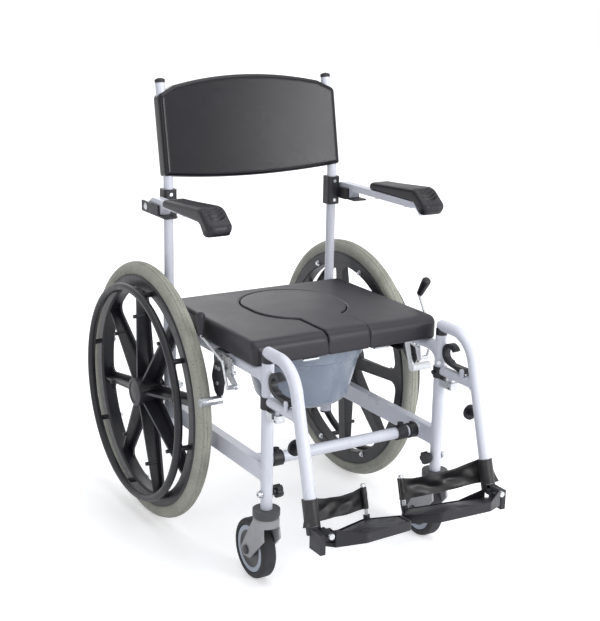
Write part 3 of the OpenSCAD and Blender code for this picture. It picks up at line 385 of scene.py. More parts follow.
def loopSides(loop):
    a = np.array(loop, float)
    return zip(a, np.roll(a, -1, axis=0))


def loopDistance(loop, points):  # shortest way from each point to a closed outline
    best = np.full(len(points), 1e9)
    for p, q in loopSides(loop):
        d = q - p
        t = np.clip(((points - p) @ d) / max(d @ d, 1e-9), 0, 1)
        best = np.minimum(best, np.linalg.norm(points - p - t[:, None] * d, axis=1))
    return best


def insideLoop(loop, points):
    crossings = np.zeros(len(points), int)
    for p, q in loopSides(loop):
        spans = (p[1] > points[:, 1]) != (q[1] > points[:, 1])
        if spans.any():
            at = p[0] + (points[:, 1] - p[1]) * (q[0] - p[0]) / (q[1] - p[1] + 1e-12)
            crossings += (spans & (points[:, 0] < at)).astype(int)
    return crossings % 2 == 1


def spreadPoints(loop, step, lines):
    # points over an outline: rings that follow its edge closely, then an even grid, kept clear of the lines
    rings, lineGap = (0.6, 1.6, 3, 5, 7.5, 10.5, 14, 18), 1.6
    edge = np.array(loop, float)
    tangent = np.roll(edge, -1, axis=0) - np.roll(edge, 1, axis=0)
    inward = np.stack([-tangent[:, 1], tangent[:, 0]], axis=1)
    inward /= np.linalg.norm(inward, axis=1)[:, None] + 1e-12
    spots = []
    for d in rings:
        ring = edge + inward * d
        spots.append(ring[(loopDistance(loop, ring) > 0.93 * d) & insideLoop(loop, ring)])
    low, high = edge.min(axis=0), edge.max(axis=0)
    gx, gy = np.meshgrid(np.arange(low[0], high[0], step), np.arange(low[1], high[1], step))
    cells = np.stack([gx.ravel(), gy.ravel()], axis=1)
    cells = cells[insideLoop(loop, cells)]
    spots.append(cells[loopDistance(loop, cells) > rings[-1] + step * 0.45])
    spots = np.concatenate(spots)
    if lines:
        onLines = np.array([p for line in lines for p in line])
        gap = np.min(np.linalg.norm(spots[:, None, :] - onLines[None, :, :], axis=2), axis=1)
        spots = spots[gap > lineGap]
    return [tuple(p) for p in spots]


def padSolid(loop, topOf, floors, step=7, lines=(), sideRings=(0.5,)):
    # a closed solid over one outline; topOf and each floor's height take points and their way to the edge
    loop = resample(loop, 4)
    pool, lineEdges = list(loop), []
    for line in lines:
        first = len(pool)
        pool += line
        lineEdges += [(first + i, first + i + 1) for i in range(len(line) - 1)]
    pool += spreadPoints(loop, step, lines)
    made = delaunay_2d_cdt([Vector(p) for p in pool], lineEdges, [list(range(len(loop)))], 1, 1e-4)
    flat = np.array([(v.x, v.y) for v in made[0]])
    triangles = []
    for f in made[2]:
        a, b, c = flat[f[0]], flat[f[1]], flat[f[2]]
        area = (b[0] - a[0]) * (c[1] - a[1]) - (b[1] - a[1]) * (c[0] - a[0])
        if abs(area) > 1e-9:
            triangles.append(tuple(f) if area > 0 else (f[0], f[2], f[1]))
    away = loopDistance(loop, flat)
    away[away < 1e-3] = 0
    top = topOf(flat, away)
    centres = np.array([(flat[a] + flat[b] + flat[c]) / 3 for a, b, c in triangles])
    level = np.zeros(len(triangles), int)
    for i, (test, _) in enumerate(floors):
        if i:
            level[test(centres)] = i
    floorAt = [f(flat, away) for _, f in floors]
    points, index, faces, owner = [], {}, [], {}

    def vertex(i, z):
        key = (i, round(float(z), 3))
        if key not in index:
            index[key] = len(points)
            points.append((flat[i][0], flat[i][1], float(z)))
        return index[key]

    for t, tri in enumerate(triangles):
        faces.append([vertex(i, top[i]) for i in tri])
        faces.append([vertex(i, floorAt[level[t]][i]) for i in reversed(tri)])
        for k in range(3):
            owner[(tri[k], tri[(k + 1) % 3])] = t
    heights = sorted({round(float(f[0]), 3) for f in floorAt[1:]})

    def column(i, low, high, outer):  # the same heights whichever face asks, so that neighbours share them
        cuts = [h for h in heights if low + 1e-3 < h < high - 1e-3]
        if outer:
            base = max([low] + cuts)
            cuts += [base + (high - base) * s for s in sideRings]
        return [vertex(i, z) for z in [low] + cuts + [high]]

    for (a, b), t in owner.items():
        other, floor = owner.get((b, a)), floorAt[level[t]]
        wall = top if other is None else floorAt[level[other]]
        if other is not None and wall[a] <= floor[a] + 1e-6:
            continue
        colA, colB = (column(i, floor[i], wall[i], other is None) for i in (a, b))
        for k in range(max(len(colA), len(colB)) - 1):  # the shorter column ends in a fan
            corners = [colA[min(k, len(colA) - 1)], colB[min(k, len(colB) - 1)],
                       colB[min(k + 1, len(colB) - 1)], colA[min(k + 1, len(colA) - 1)]]
            corners = [c for i, c in enumerate(corners) if c != corners[i - 1]]
            if len(corners) > 2:
                faces.append(corners)
    return points, faces


def roundOver(away, radius):  # how far a rounded edge has dropped, as a share of its radius
    return 1 - np.sqrt(1 - np.clip(1 - away / radius, 0, 1) ** 2)


def softRipple(points, size, seed):  # a slow unevenness, so that light doesn't lie dead flat
    rng = np.random.default_rng(seed)
    waves = 6
    out = np.zeros(len(points))
    for _ in range(waves):
        k = rng.normal(size=2) / size
        out += np.sin(points @ k + rng.uniform(0, 6.28))
    return out / waves


# seat cushion and lid: one moulded foam skin each, rolled over at the front, with a groove between them

seatSizes = {
    "slotHalf": 53,        # half width of the slot that runs to the front
    "gap": 1.5,            # width of the groove round the lid
    "openDeep": 36,        # between the centres of the opening's rear and front arcs
    "neckRound": 18,       # radius where the slot meets the round opening
    "planRound": 16,       # radius of the outer corners seen from above
    "frontRoll": 24,       # how far back the front edge rolls over
    "frontDepth": 20,      # and how far down
    "sideRoll": 10,
    "sideDepth": 10,
    "grooveRoll": 5.0,     # small radius along the groove
    "lidRoll": 3.0,
    "lidProud": 2.4,       # how far the lid stands above the cushion towards its front
    "lidRise": 120,        # over what length it rises
    "floorRound": 4,
    "recessR": 91,         # hollow below the lid
    "recessHigh": 22,
    "ripple": 0.5,
}
boardSizes = {"front": 11.7, "back": 8, "side": 7.7, "up": 8.3}  # the seat board's margins inside the foam

padLow, padHigh = lowHigh("seat_pad")
lidHigh = lowHigh("seat_lid")[1]
seatHalf, seatFront, seatBack = padHigh.x, padLow.y - axleY, padHigh.y - axleY
seatTop, seatFloor = padHigh.z, padLow.z
openR = lidHigh.x + seatSizes["gap"]
openTop = lidHigh.y - axleY + seatSizes["gap"]
openHigh = openTop - openR
openLow = openHigh - seatSizes["openDeep"]
boardFront, boardBack = seatFront + boardSizes["front"], seatBack - boardSizes["back"]
boardHalf, boardTop = seatHalf - boardSizes["side"], seatFloor + boardSizes["up"]


def openingPath(grow):  # up the left of the slot, round the opening, down the right
    r, s = openR + grow, seatSizes["slotHalf"] + grow
    f = seatSizes["neckRound"] - grow
    cx, cy = -(s + f), openLow - math.sqrt((r + f) ** 2 - (s + f) ** 2)
    turn = math.degrees(math.atan2(openLow - cy, -cx))
    left = [(-s, seatFront)] + arcPoints(cx, cy, f, 0, turn, 8)
    left += arcPoints(0, openLow, r, turn + 180, 180, 24) + arcPoints(0, openHigh, r, 180, 90, 28)
    return left + [(-x, y) for x, y in reversed(left[:-1])]


def seatTopOf(opening, roll, proud):
    def topOf(points, away):
        side = np.clip(1 - (seatHalf - np.abs(points[:, 0])) / seatSizes["sideRoll"], 0, 1)
        front = np.clip(1 - (points[:, 1] - seatFront) / seatSizes["frontRoll"], 0, 1)
        back = np.clip(1 - (seatBack - points[:, 1]) / seatSizes["sideRoll"], 0, 1)
        s = np.clip(np.sqrt(side ** 2 + np.maximum(front, back) ** 2), 0, 1)
        deeper = seatSizes["frontDepth"] - seatSizes["sideDepth"]
        depth = seatSizes["sideDepth"] + deeper * front ** 2 / (front ** 2 + side ** 2 + 1e-9)
        drop = depth * (1 - np.sqrt(1 - s ** 2))
        near = loopDistance(opening, points)
        drop += roll * roundOver(near, roll + 0.6)
        lift = proud * np.clip((openTop - points[:, 1]) / seatSizes["lidRise"], 0, 1)
        ripple = seatSizes["ripple"] * softRipple(points, 60, 4) * np.clip(near / 30, 0, 1)
        return seatTop + lift - drop + ripple
    return topOf


def borderFloor(points, away):
    return seatFloor + seatSizes["floorRound"] * roundOver(away, seatSizes["floorRound"])


def flatFloor(height):
    return lambda points, away: np.full(len(points), height)


padOpening, lidEdge = openingPath(0), openingPath(-seatSizes["gap"])
planR = seatSizes["planRound"]
padLoop = []
for x, y, start in ((seatHalf - planR, seatFront + planR, -90), (seatHalf - planR, seatBack - planR, 0),
                    (planR - seatHalf, seatBack - planR, 90), (planR - seatHalf, seatFront + planR, 180)):
    padLoop += arcPoints(x, y, planR, start, start + 90, 5)
slotHalf = seatSizes["slotHalf"]
boardEdge = [(-slotHalf, boardFront), (-boardHalf, boardFront), (-boardHalf, boardBack),
             (boardHalf, boardBack), (boardHalf, boardFront), (slotHalf, boardFront)]
points, faces = padSolid(padLoop + padOpening, seatTopOf(padOpening, seatSizes["grooveRoll"], 0), [
    (None, borderFloor),
    (lambda c: (np.abs(c[:, 0]) < boardHalf) & (c[:, 1] > boardFront) & (c[:, 1] < boardBack),
     flatFloor(boardTop)),
], lines=[resample(boardEdge, 6, closed=False)])
seatCushion = meshPiece("seatCushion", points, faces, skinFoam, 50)

lidSlot, recessMid = slotHalf - seatSizes["gap"], (openHigh + openLow) / 2
points, faces = padSolid(lidEdge[::-1], seatTopOf(lidEdge, seatSizes["lidRoll"], seatSizes["lidProud"]), [
    (None, borderFloor),
    (lambda c: c[:, 1] > boardFront, flatFloor(boardTop)),
    (lambda c: np.hypot(c[:, 0], c[:, 1] - recessMid) < seatSizes["recessR"],
     flatFloor(seatFloor + seatSizes["recessHigh"])),
], lines=[resample([(-lidSlot, boardFront), (lidSlot, boardFront)], 6, closed=False),
          arcPoints(0, recessMid, seatSizes["recessR"], 0, 360, 60)])
seatLid = meshPiece("seatLid", points, faces, skinFoam, 50)
print("seat cushion and lid:", len(seatCushion.data.polygons), len(seatLid.data.polygons), "faces")


# backrest pad: hollowed towards the sitter, slid over both back tubes

backSizes = {
    "lean": 10.6,          # degrees from upright
    "bendAboveClamps": 90,
    "sag": 17,             # depth of the hollow
    "thick": 42,
    "edgeRound": 11,
    "crownRadius": 855,
    "crownUp": 14.4,       # the crown's middle above the tubes' ends
    "sideDown": 27.6,      # the upper corners below them
    "cornerIn": 38,        # the bevelled shoulder of each upper corner
    "cornerUp": 19,
    "lowRise": 12,         # how far the lower corners stand above the middle of the lower edge
    "lowDown": 6,
    "tubeR": 11.1,
    "tubeGap": 0.3,
    "ripple": 0.5,
}
tubeHigh = lowHigh("back_tubes")[1]
postX = tubeHigh.x - backSizes["tubeR"]
backHalf = lowHigh("back_pad")[1].x
bendZ = lowHigh("arm_clamps")[0].z + backSizes["bendAboveClamps"]
backLean = math.radians(backSizes["lean"])
leanLength = (tubeHigh.z - bendZ - 11 * math.sin(backLean)) / math.cos(backLean)
backBig = backHalf ** 2 / (2 * backSizes["sag"])


def leanPoint(point):  # x, along the lean, towards the sitter
    x, along, front = point
    return (x, -front * math.cos(backLean) + along * math.sin(backLean),
            bendZ + front * math.sin(backLean) + along * math.cos(backLean))


def backOutline():
    s, rise, crownR = backSizes, backSizes["lowRise"], backSizes["crownRadius"]
    lowR = (backHalf ** 2 + rise ** 2) / (2 * rise)
    lowTurn = math.degrees(math.asin(backHalf / lowR))
    crownTurn = math.degrees(math.asin((backHalf - s["cornerIn"] - 4) / crownR))
    crownMid, sideTop = leanLength + s["crownUp"] - crownR, leanLength - s["sideDown"]
    shoulderX, shoulderY = backHalf - s["cornerIn"], sideTop + s["cornerUp"]
    lower = arcPoints(0, lowR - s["lowDown"], lowR, -90 - lowTurn, -90 + lowTurn, 30)
    outline = [(x, y, 6 if i in (0, 30) else 0) for i, (x, y) in enumerate(lower)]
    outline += [(backHalf, sideTop, 14), (shoulderX, shoulderY, 20)]
    outline += [(x, y, 0) for x, y in arcPoints(0, crownMid, crownR, 90 - crownTurn, 90 + crownTurn, 24)]
    return roundCorners(outline + [(-shoulderX, shoulderY, 20), (-backHalf, sideTop, 14)])


def backSide(sign):  # the front face for 1, the rear one for -1
    def heightOf(points, away):
        hollow = backSizes["sag"] - backBig + np.sqrt(backBig ** 2 - points[:, 0] ** 2)
        rounding = backSizes["edgeRound"] * roundOver(away, backSizes["edgeRound"])
        soft = backSizes["ripple"] * softRipple(points, 70, 9) * np.clip(away / 30, 0, 1)
        return -hollow + sign * backSizes["thick"] / 2 - sign * rounding + (soft if sign > 0 else 0)
    return heightOf


def cutTube(piece, radius, x, y, z, direction, low, high):  # a channel that lets a tube through
    bm = bmesh.new()
    bmesh.ops.create_cone(bm, cap_ends=True, segments=48, radius1=radius / 1000, radius2=radius / 1000,
                          depth=(high - low) / 1000)
    turn = Vector((0, 0, 1)).rotation_difference(direction).to_matrix().to_4x4()
    middle = Vector((x, y, z)) + direction * (low + high) / 2
    bmesh.ops.transform(bm, matrix=Matrix.Translation(toWorld(middle)) @ turn, verts=bm.verts)
    mesh = bpy.data.meshes.new("channel")
    bm.to_mesh(mesh)
    bm.free()
    cutter = addObject("channel", mesh)
    modifier = piece.modifiers.new("cut", "BOOLEAN")
    modifier.operation = "DIFFERENCE"
    modifier.solver = "EXACT"
    modifier.object = cutter
    cut = bpy.data.meshes.new_from_object(piece.evaluated_get(bpy.context.evaluated_depsgraph_get()))
    piece.modifiers.clear()
    piece.data = cut
    bpy.data.objects.remove(cutter)


points, faces = padSolid(backOutline(), backSide(1), [(None, backSide(-1))], step=8, sideRings=(0.33, 0.67))
backPad = meshPiece("backPad", [leanPoint(p) for p in points], faces, backFoam, 50)
for sign in sides.values():
    cutTube(backPad, backSizes["tubeR"] + backSizes["tubeGap"], sign * postX, 0, bendZ,
            Vector((0, math.sin(backLean), math.cos(backLean))), -60, leanLength + 60)
smoothFaces(backPad, 50)
print("back pad:", len(backPad.data.polygons), "faces")


# armrest pads: a swept foam moulding with a drooping, grooved nose

armSizes = {
    "width": 59,
    "rearWidth": 53,       # the pad widens towards the nose
    "widensBy": 180,
    "topRound": 9,
    "floorRound": 5,
    "border": 1.5,         # how far the side borders stand up
    "borderAt": 0.68,      # where they stand, as a share of the half width
    "grooves": 4,
    "grooveStep": 10,      # from one groove to the next along the droop
    "grooveDeep": 5.2,
    "grooveHalf": 2.6,
    "droopAt": -303,       # where the nose begins to fall, behind the rear post
    "rearRound": 11,       # plan radius at the rear end
    "noseRound": 24,
    "tongueHalf": 24.2,    # channel for the bar's tongue
    "tongueAt": -306.8,
}


def armStations():
    # pairs of points on the pad's top line and under line, from the rear end to the tip of the nose
    def straight(p, q, first, last, n):
        return [(blend(p[0], q[0], t), blend(p[1], q[1], t)) for t in np.linspace(first, last, n)]

    noseY, noseZ, noseR = -336.1, -11.1, 15
    top = arcPoints(-139.3, 4, 14, 15, 90, 6) + straight((-140, 18), (-300, 28), 0.1, 1, 14)
    top += arcPoints(-300, -2, 30, 94, 128, 8) + straight((-318.5, 21.6), (-345.3, 0.7), 0.1, 0.9, 9)
    top += arcPoints(noseY, noseZ, noseR, 128, 212, 12)
    under = straight((-126, 0.5), (-140, 0), 0, 1, 7) + straight((-140, 0), (-296, 0), 0.1, 1, 14)
    under += [(blend(-296, -314, t), -6.5 * t ** 1.6) for t in np.linspace(0.1, 1, 9)]
    under += straight((-314, -6.5), (-326.8, -22.9), 0.1, 1, 9)
    under += arcPoints(noseY, noseZ, noseR, 308, 224, 12)
    return list(zip(top, under))


def armRing(height, width):
    # one turn round the pad's section, as across, up and a mark that is 1 over the flat of the top
    rt, rf = min(armSizes["topRound"], height * 0.46), min(armSizes["floorRound"], height * 0.4)
    h, w = height, width / 2
    lower, upper = np.linspace(0.3, 1.4, 4), np.linspace(0.22, 1.35, 6)  # turns within the corners
    ring = [(x, 0, 0) for x in np.linspace(rf - w, w - rf, 9)]
    ring += [(w - rf + rf * math.sin(t), rf - rf * math.cos(t), 0) for t in lower]
    ring += [(w, z, 0) for z in np.linspace(rf, h - rt, 3)]
    ring += [(w - rt + rt * math.cos(t), h - rt + rt * math.sin(t), 0) for t in upper]
    ring += [(x, h, 1) for x in np.linspace(w - rt, rt - w, 31)]
    ring += [(rt - w - rt * math.sin(t), h - rt + rt * math.cos(t), 0) for t in upper]
    ring += [(-w, z, 0) for z in np.linspace(h - rt, rf, 3)]
    return ring + [(rf - w - rf * math.cos(t), rf - rf * math.sin(t), 0) for t in lower]


def endRound(radius, run):  # how much narrower a rounded end makes the pad at a run from it
    short = radius - run
    return 2 * (radius - math.sqrt(max(0, radius ** 2 - short * short))) if short > 0 else 0


def armLift(run, v, droopFrom):  # borders and grooves: v is 0 in the middle and 1 at the side
    lift = armSizes["border"] * clip01((run - 60) / 120) * math.exp(-((v - armSizes["borderAt"]) / 0.13) ** 2)
    for g in range(armSizes["grooves"]):
        at = droopFrom + 6 + g * armSizes["grooveStep"] - 7 * (v / 0.6) ** 2
        cut = math.exp(-((run - at) / armSizes["grooveHalf"]) ** 2) * (1 - clip01((v - 0.54) / 0.16))
        lift -= armSizes["grooveDeep"] * cut
    return lift


def makeArmPad(side):
    low, high = lowHigh("arm_pad_" + side)
    barTop = lowHigh("arm_bar_" + side)[1].z + 0.3
    sign, middle = sides[side], (low.x + high.x) / 2
    tongueIn = middle - sign * armSizes["width"] / 2
    fine, stations = [], armStations()
    for (t0, u0), (t1, u1) in zip(stations, stations[1:]):
        step = 1.3 if t0[0] < -299 else 5  # closer along the droop, so that the grooves are smooth
        n = max(1, int(math.dist(t0, t1) / step))
        for k in range(n):
            fine.append([tuple(a + (b - a) * (k / n) for a, b in zip(p, q)) for p, q in ((t0, t1), (u0, u1))])
    fine.append(stations[-1])
    runs = [0]
    for (t0, _), (t1, _) in zip(fine, fine[1:]):
        runs.append(runs[-1] + math.dist(t1, t0))
    droopFrom = next(run for run, (t, _) in zip(runs, fine) if t[0] < armSizes["droopAt"])
    points = []
    for run, (t, u) in zip(runs, fine):
        wider = armSizes["width"] - armSizes["rearWidth"]
        width = armSizes["rearWidth"] + wider * min(1, run / armSizes["widensBy"]) ** 1.5
        width -= endRound(armSizes["rearRound"], run)
        width -= endRound(armSizes["noseRound"], runs[-1] - run)
        height = math.dist(t, u)
        ey, ez = (t[0] - u[0]) / height, (t[1] - u[1]) / height
        for across, upward, onTop in armRing(height, max(width, 8)):
            lift = armLift(run, abs(across) / (width / 2), droopFrom) if onTop else 0
            y, z = u[0] + ey * (upward + lift), u[1] + ez * (upward + lift)
            x = middle + sign * across
            if abs(x - tongueIn) < armSizes["tongueHalf"] and y < -296:
                z = max(z, min(0, (y - armSizes["tongueAt"]) * 0.794))
            points.append((x, y, barTop + z))
    faces = cappedRings(points, len(points) // len(fine))
    return closedPiece("armPad" + side.upper(), points, faces, armFoam, 60)


armPads = {side: makeArmPad(side) for side in sides}
print("armrest pads:", [len(p.data.polygons) for p in armPads.values()], "faces")


# heel straps: webbing sewn in a loop round each leg, and round the post of the footplate

strapSizes = {
    "thick": 1.8,
    "lean": 15.7,          # degrees that the leg leans
    "reach": 98.7,         # how far before the front post the leg's line starts, at the height of its bend
    "atHeight": 232,       # where the strap's own frame crosses the leg
    "postX": 48,
    "postOff": 72,         # how far the post stands behind the leg
    "postR": 4,
    "sleeve": 1.6,         # thickness of the webbing wrapped round the post
    "sleeveFrom": -34,
    "sleeveTo": 11,
    "sleeveOut": 4.6,      # flattened to this where it turns close past the socket
    "step": 3,
    "across": 15,
}
legLean = math.radians(strapSizes["lean"])
postLow, postHigh = lowHigh("front_posts")
frontY, tubeR = (postLow.y + postHigh.y) / 2 - axleY, (postHigh.y - postLow.y) / 2
hangZ = lowHigh("hanger_tube_r")[1].z - tubeR
onBand = 999  # marks the straight part of the strap, off the leg


def legAt(z):  # where the middle of the leg is at a height
    return frontY - strapSizes["reach"] - (hangZ - z) * math.tan(legLean)


def strapPlace(side, x, back, along):  # from across, behind the leg and up along it, to a point
    z0 = strapSizes["atHeight"]
    return (sides[side] * x, legAt(z0) + back * math.cos(legLean) + along * math.sin(legLean),
            z0 - back * math.sin(legLean) + along * math.cos(legLean))


def strapPath():
    # once round the leg, its lap over the start, then straight back to the post of the footplate
    r = tubeR + 0.35 + strapSizes["thick"] / 2
    path = []
    for d in np.arange(-300, 69.5, 6):
        lap = 2.3 * clip01((d + 10) / 55) if d > -10 else 0
        path.append((postX + (r + lap) * math.cos(math.radians(d)), (r + lap) * math.sin(math.radians(d)), d))
    end = (strapSizes["postX"] - 5, strapSizes["postOff"] + strapSizes["postR"] + strapSizes["sleeve"] + 1.6)
    start = path[-1][:2]
    n = int(math.dist(start, end) / strapSizes["step"])
    return path + [(*spot, onBand) for spot in splitLine(start, end, n)[1:] + [end]]


def strapEdges(x, onLeg):  # the low and high edge of the band at a place across
    if onLeg:
        return -25.0, 27.0
    low = np.interp(x, [40, 107, 170, 201, 222], [-35, -33, -28, -25, -25])
    high = np.interp(x, [40, 52, 75, 120, 160, 200, 222], [12, 10, 6.5, 8, 13, 22, 27])
    return float(low), float(high)


def shellOf(name, side, rows, thick):
    # gives a grid of points with their uv a thickness and closes its border; the normals point outwards
    if side == "l":  # the mirrored side is wound the other way round
        rows = [row[::-1] for row in rows]
    grid = np.array([[point for point, _ in row] for row in rows], float)
    uv = [spot for row in rows for _, spot in row]
    normal = np.cross(np.gradient(grid, axis=0), np.gradient(grid, axis=1))
    normal /= np.linalg.norm(normal, axis=2)[:, :, None] + 1e-12
    nu, nv = grid.shape[:2]
    outer, inner = grid + normal * thick / 2, grid - normal * thick / 2
    points = [tuple(p) for p in outer.reshape(-1, 3)] + [tuple(p) for p in inner.reshape(-1, 3)]
    faces, n = [], nu * nv
    for a in (i * nv + j for i in range(nu - 1) for j in range(nv - 1)):
        b, c, d = a + nv, a + nv + 1, a + 1
        faces += [[a, b, c, d], [d + n, c + n, b + n, a + n]]
    rim = [i * nv for i in range(nu)] + [(nu - 1) * nv + j for j in range(1, nv)]
    rim += [i * nv + nv - 1 for i in range(nu - 2, -1, -1)] + list(range(nv - 2, 0, -1))
    faces += [[a, a + n, b + n, b] for a, b in zip(rim, rim[1:] + rim[:1])]
    return closedPiece(name + side.upper(), points, faces, webbing, 50, uv * 2), outer, inner, grid


def bandBulge(x, along, v, phase):  # creases run up from the leg's foot to the head of the post
    crease = 3.6 * math.sin((x * 0.8 + along * 1.5) / 9.5 + phase[0]) * math.exp(-((v - 0.45) / 0.34) ** 2)
    crease += 1.5 * math.sin((x * 0.5 - along * 1.2) / 6 + phase[1])
    free = math.sin(math.pi * clip01((postX - x) / (postX - strapSizes["postX"]))) ** 0.6
    return free * (crease + 5.5 * math.sin(math.pi * v) ** 2)


def loopBulge(d, v, phase):  # the loop stands off the leg in one loose fold at its lower outer side
    turned = (d + 360) % 360 if d < -180 else d
    fold = 11.5 * math.exp(-((turned + 12) / 17) ** 2) * max(0, 1 - v / 0.62) ** 1.3
    return fold + 0.1 * (1 + math.sin(turned / 14 + v * 5 + phase[2])) * (1 - v)


def makeStrap(side):
    path, across = strapPath(), strapSizes["across"]
    phase = np.random.default_rng(11 if side == "l" else 12).uniform(0, 6.28, 4)
    rows, run = [], 0
    for i, (x, back, d) in enumerate(path):
        if i:
            run += math.dist(path[i - 1][:2], (x, back))
        low, high = strapEdges(x, d != onBand)
        row = []
        for v in [j / (across - 1) for j in range(across)]:
            along = low + (high - low) * v
            if d == onBand:
                bulgeX, bulgeBack = 0, bandBulge(x, along, v, phase)
            else:
                out = loopBulge(d, v, phase)
                bulgeX, bulgeBack = out * math.cos(math.radians(d)), out * math.sin(math.radians(d))
            row.append((strapPlace(side, x + bulgeX, back + bulgeBack, along), (run / 1000, along / 1000)))
        rows.append(row)
    piece, outer, inner, g = shellOf("heelStrap", side, rows, strapSizes["thick"])
    area = sum(np.linalg.norm(np.cross(g[i + 1, j] - g[i, j], g[i, j + 1] - g[i, j]))
               for i in range(len(g) - 1) for j in range(across - 1)) / 1e6
    wide = max(np.linalg.norm(row[-1] - row[0]) for row in g) / 1000
    length = sum(np.linalg.norm(g[i + 1, across // 2] - g[i, across // 2]) for i in range(len(g) - 1)) / 1000
    return piece, outer, inner, (wide, length, area)


def makeSleeve(side):  # the strap's other end, sewn round the post
    low, high = strapSizes["sleeveFrom"], strapSizes["sleeveTo"]
    r = strapSizes["postR"] + 0.3 + strapSizes["sleeve"] / 2
    rows = []
    for d in np.arange(-20, 362, 10):
        row = []
        lap = 1.2 * max(0, (d - 320) / 40)
        for along in [low + (high - low) * j / 12 for j in range(13)]:
            rippled = r + lap + 0.25 + 0.25 * math.sin(along / 3.1 + d / 40)
            t = math.radians(d + 200)
            outward = min(rippled * math.cos(t), strapSizes["sleeveOut"])
            spot = strapPlace(side, strapSizes["postX"] + outward,
                              strapSizes["postOff"] + rippled * math.sin(t), along)
            row.append((spot, (d * r / 57300, along / 1000)))
        rows.append(row)
    piece = shellOf("heelStrapEnd", side, rows, strapSizes["sleeve"] - 0.6)[0]
    return piece, ((high - low) / 1000, math.radians(380) * (r + 0.3) / 1000)


straps = {side: makeStrap(side) for side in sides}
sleeves = {side: makeSleeve(side) for side in sides}
print("heel straps:", [round(s[3][2] * 1e4) for s in straps.values()], "square centimetres each")


# small repeated pieces, made by geometry nodes

def newTree(name, inputs):  # inputs give each name its default; every tree has a finish too
    kinds = {tuple: "NodeSocketVector", float: "NodeSocketFloat", int: "NodeSocketInt"}
    tree = bpy.data.node_groups.new(name, "GeometryNodeTree")
    tree.interface.new_socket("Geometry", in_out="INPUT", socket_type="NodeSocketGeometry")
    for label, value in inputs.items():
        socket = tree.interface.new_socket(label, in_out="INPUT", socket_type=kinds[type(value)])
        socket.default_value = value
    tree.interface.new_socket("Finish", in_out="INPUT", socket_type="NodeSocketMaterial")
    tree.interface.new_socket("Geometry", in_out="OUTPUT", socket_type="NodeSocketGeometry")
    return tree, addNode(tree, "NodeGroupInput", output=None).outputs


def endTree(tree, entry, geometry):
    whole = addNode(tree, "GeometryNodeRealizeInstances", {"Geometry": geometry})
    named = addNode(tree, "GeometryNodeSetMaterial", {"Geometry": whole, "Material": entry["Finish"]})
    addNode(tree, "NodeGroupOutput", {"Geometry": named}, None)
    return tree


def growWith(tree, name, data, values, finish, sharpAngle=35):
    holder = addObject(name, data)
    modifier = holder.modifiers.new("grow", "NODES")
    modifier.node_group = tree
    for item in tree.interface.items_tree:
        if item.in_out == "INPUT" and item.name in {*values, "Finish"}:
            modifier[item.identifier] = values.get(item.name, finish)
    bpy.context.view_layer.update()
    mesh = bpy.data.meshes.new_from_object(holder.evaluated_get(bpy.context.evaluated_depsgraph_get()))
    bpy.data.objects.remove(holder)
    piece = addObject(name, mesh)
    if not mesh.materials:
        mesh.materials.append(finish)
    smoothFaces(piece, sharpAngle)
    return piece


def boltTree():
    # a head on a washer at every point, standing along one direction
    tree, entry = newTree("boltHeads", {"Axis": (1, 0, 0), "Head Radius": 0.005, "Head Height": 0.004,
                                        "Washer Radius": 0.007, "Sides": 6})
    washerThick = 0.001
    head = addNode(tree, "GeometryNodeMeshCylinder", {
        "Vertices": entry["Sides"], "Radius": entry["Head Radius"], "Depth": entry["Head Height"]})
    half = mathNode(tree, "MULTIPLY", entry["Head Height"], 0.5)
    lift = addNode(tree, "ShaderNodeCombineXYZ", {"Z": mathNode(tree, "ADD", half, 0.9 * washerThick)})
    washer = addNode(tree, "GeometryNodeMeshCylinder", {
        "Vertices": 28, "Depth": washerThick, "Radius": entry["Washer Radius"]})
    both = addNode(tree, "GeometryNodeJoinGeometry", output=None)
    for part, offset in ((head, lift), (washer, (0, 0, washerThick / 2))):
        moved = addNode(tree, "GeometryNodeTransform", {"Geometry": part, "Translation": offset})
        tree.links.new(moved, both.inputs[0])
    turned = addNode(tree, "FunctionNodeAlignRotationToVector", {"axis": "Z", "Vector": entry["Axis"]})
    return endTree(tree, entry, addNode(tree, "GeometryNodeInstanceOnPoints", {
        "Points": entry["Geometry"], "Instance": both.outputs[0], "Rotation": turned}))


def beadTree():
    # a weld bead along each path: a round section whose size ripples as the puddle moved on
    tree, entry = newTree("weldBeads", {"Bead Radius": 0.0018, "Ripple": 0.22, "Ripple Length": 0.003})
    fine = addNode(tree, "GeometryNodeResampleCurve",
                   {"mode": "LENGTH", "Length": 0.001, "Curve": entry["Geometry"]})
    along = addNode(tree, "GeometryNodeSplineParameter", output="Length")
    phase = mathNode(tree, "DIVIDE", along, entry["Ripple Length"])
    wave = mathNode(tree, "SINE", mathNode(tree, "MULTIPLY", phase, 6.2832))
    swing = mathNode(tree, "MULTIPLY_ADD", wave, entry["Ripple"], 1.0)
    size = mathNode(tree, "MULTIPLY", swing, entry["Bead Radius"])
    sized = addNode(tree, "GeometryNodeSetCurveRadius", {"Curve": fine, "Radius": size})
    section = addNode(tree, "GeometryNodeCurvePrimitiveCircle", {"Resolution": 8, "Radius": 1.0})
    skin = addNode(tree, "GeometryNodeCurveToMesh",
                   {"Fill Caps": True, "Curve": sized, "Profile Curve": section}, None)
    if "Scale" in skin.inputs:
        tree.links.new(addNode(tree, "GeometryNodeInputRadius"), skin.inputs["Scale"])
    return endTree(tree, entry, skin.outputs[0])


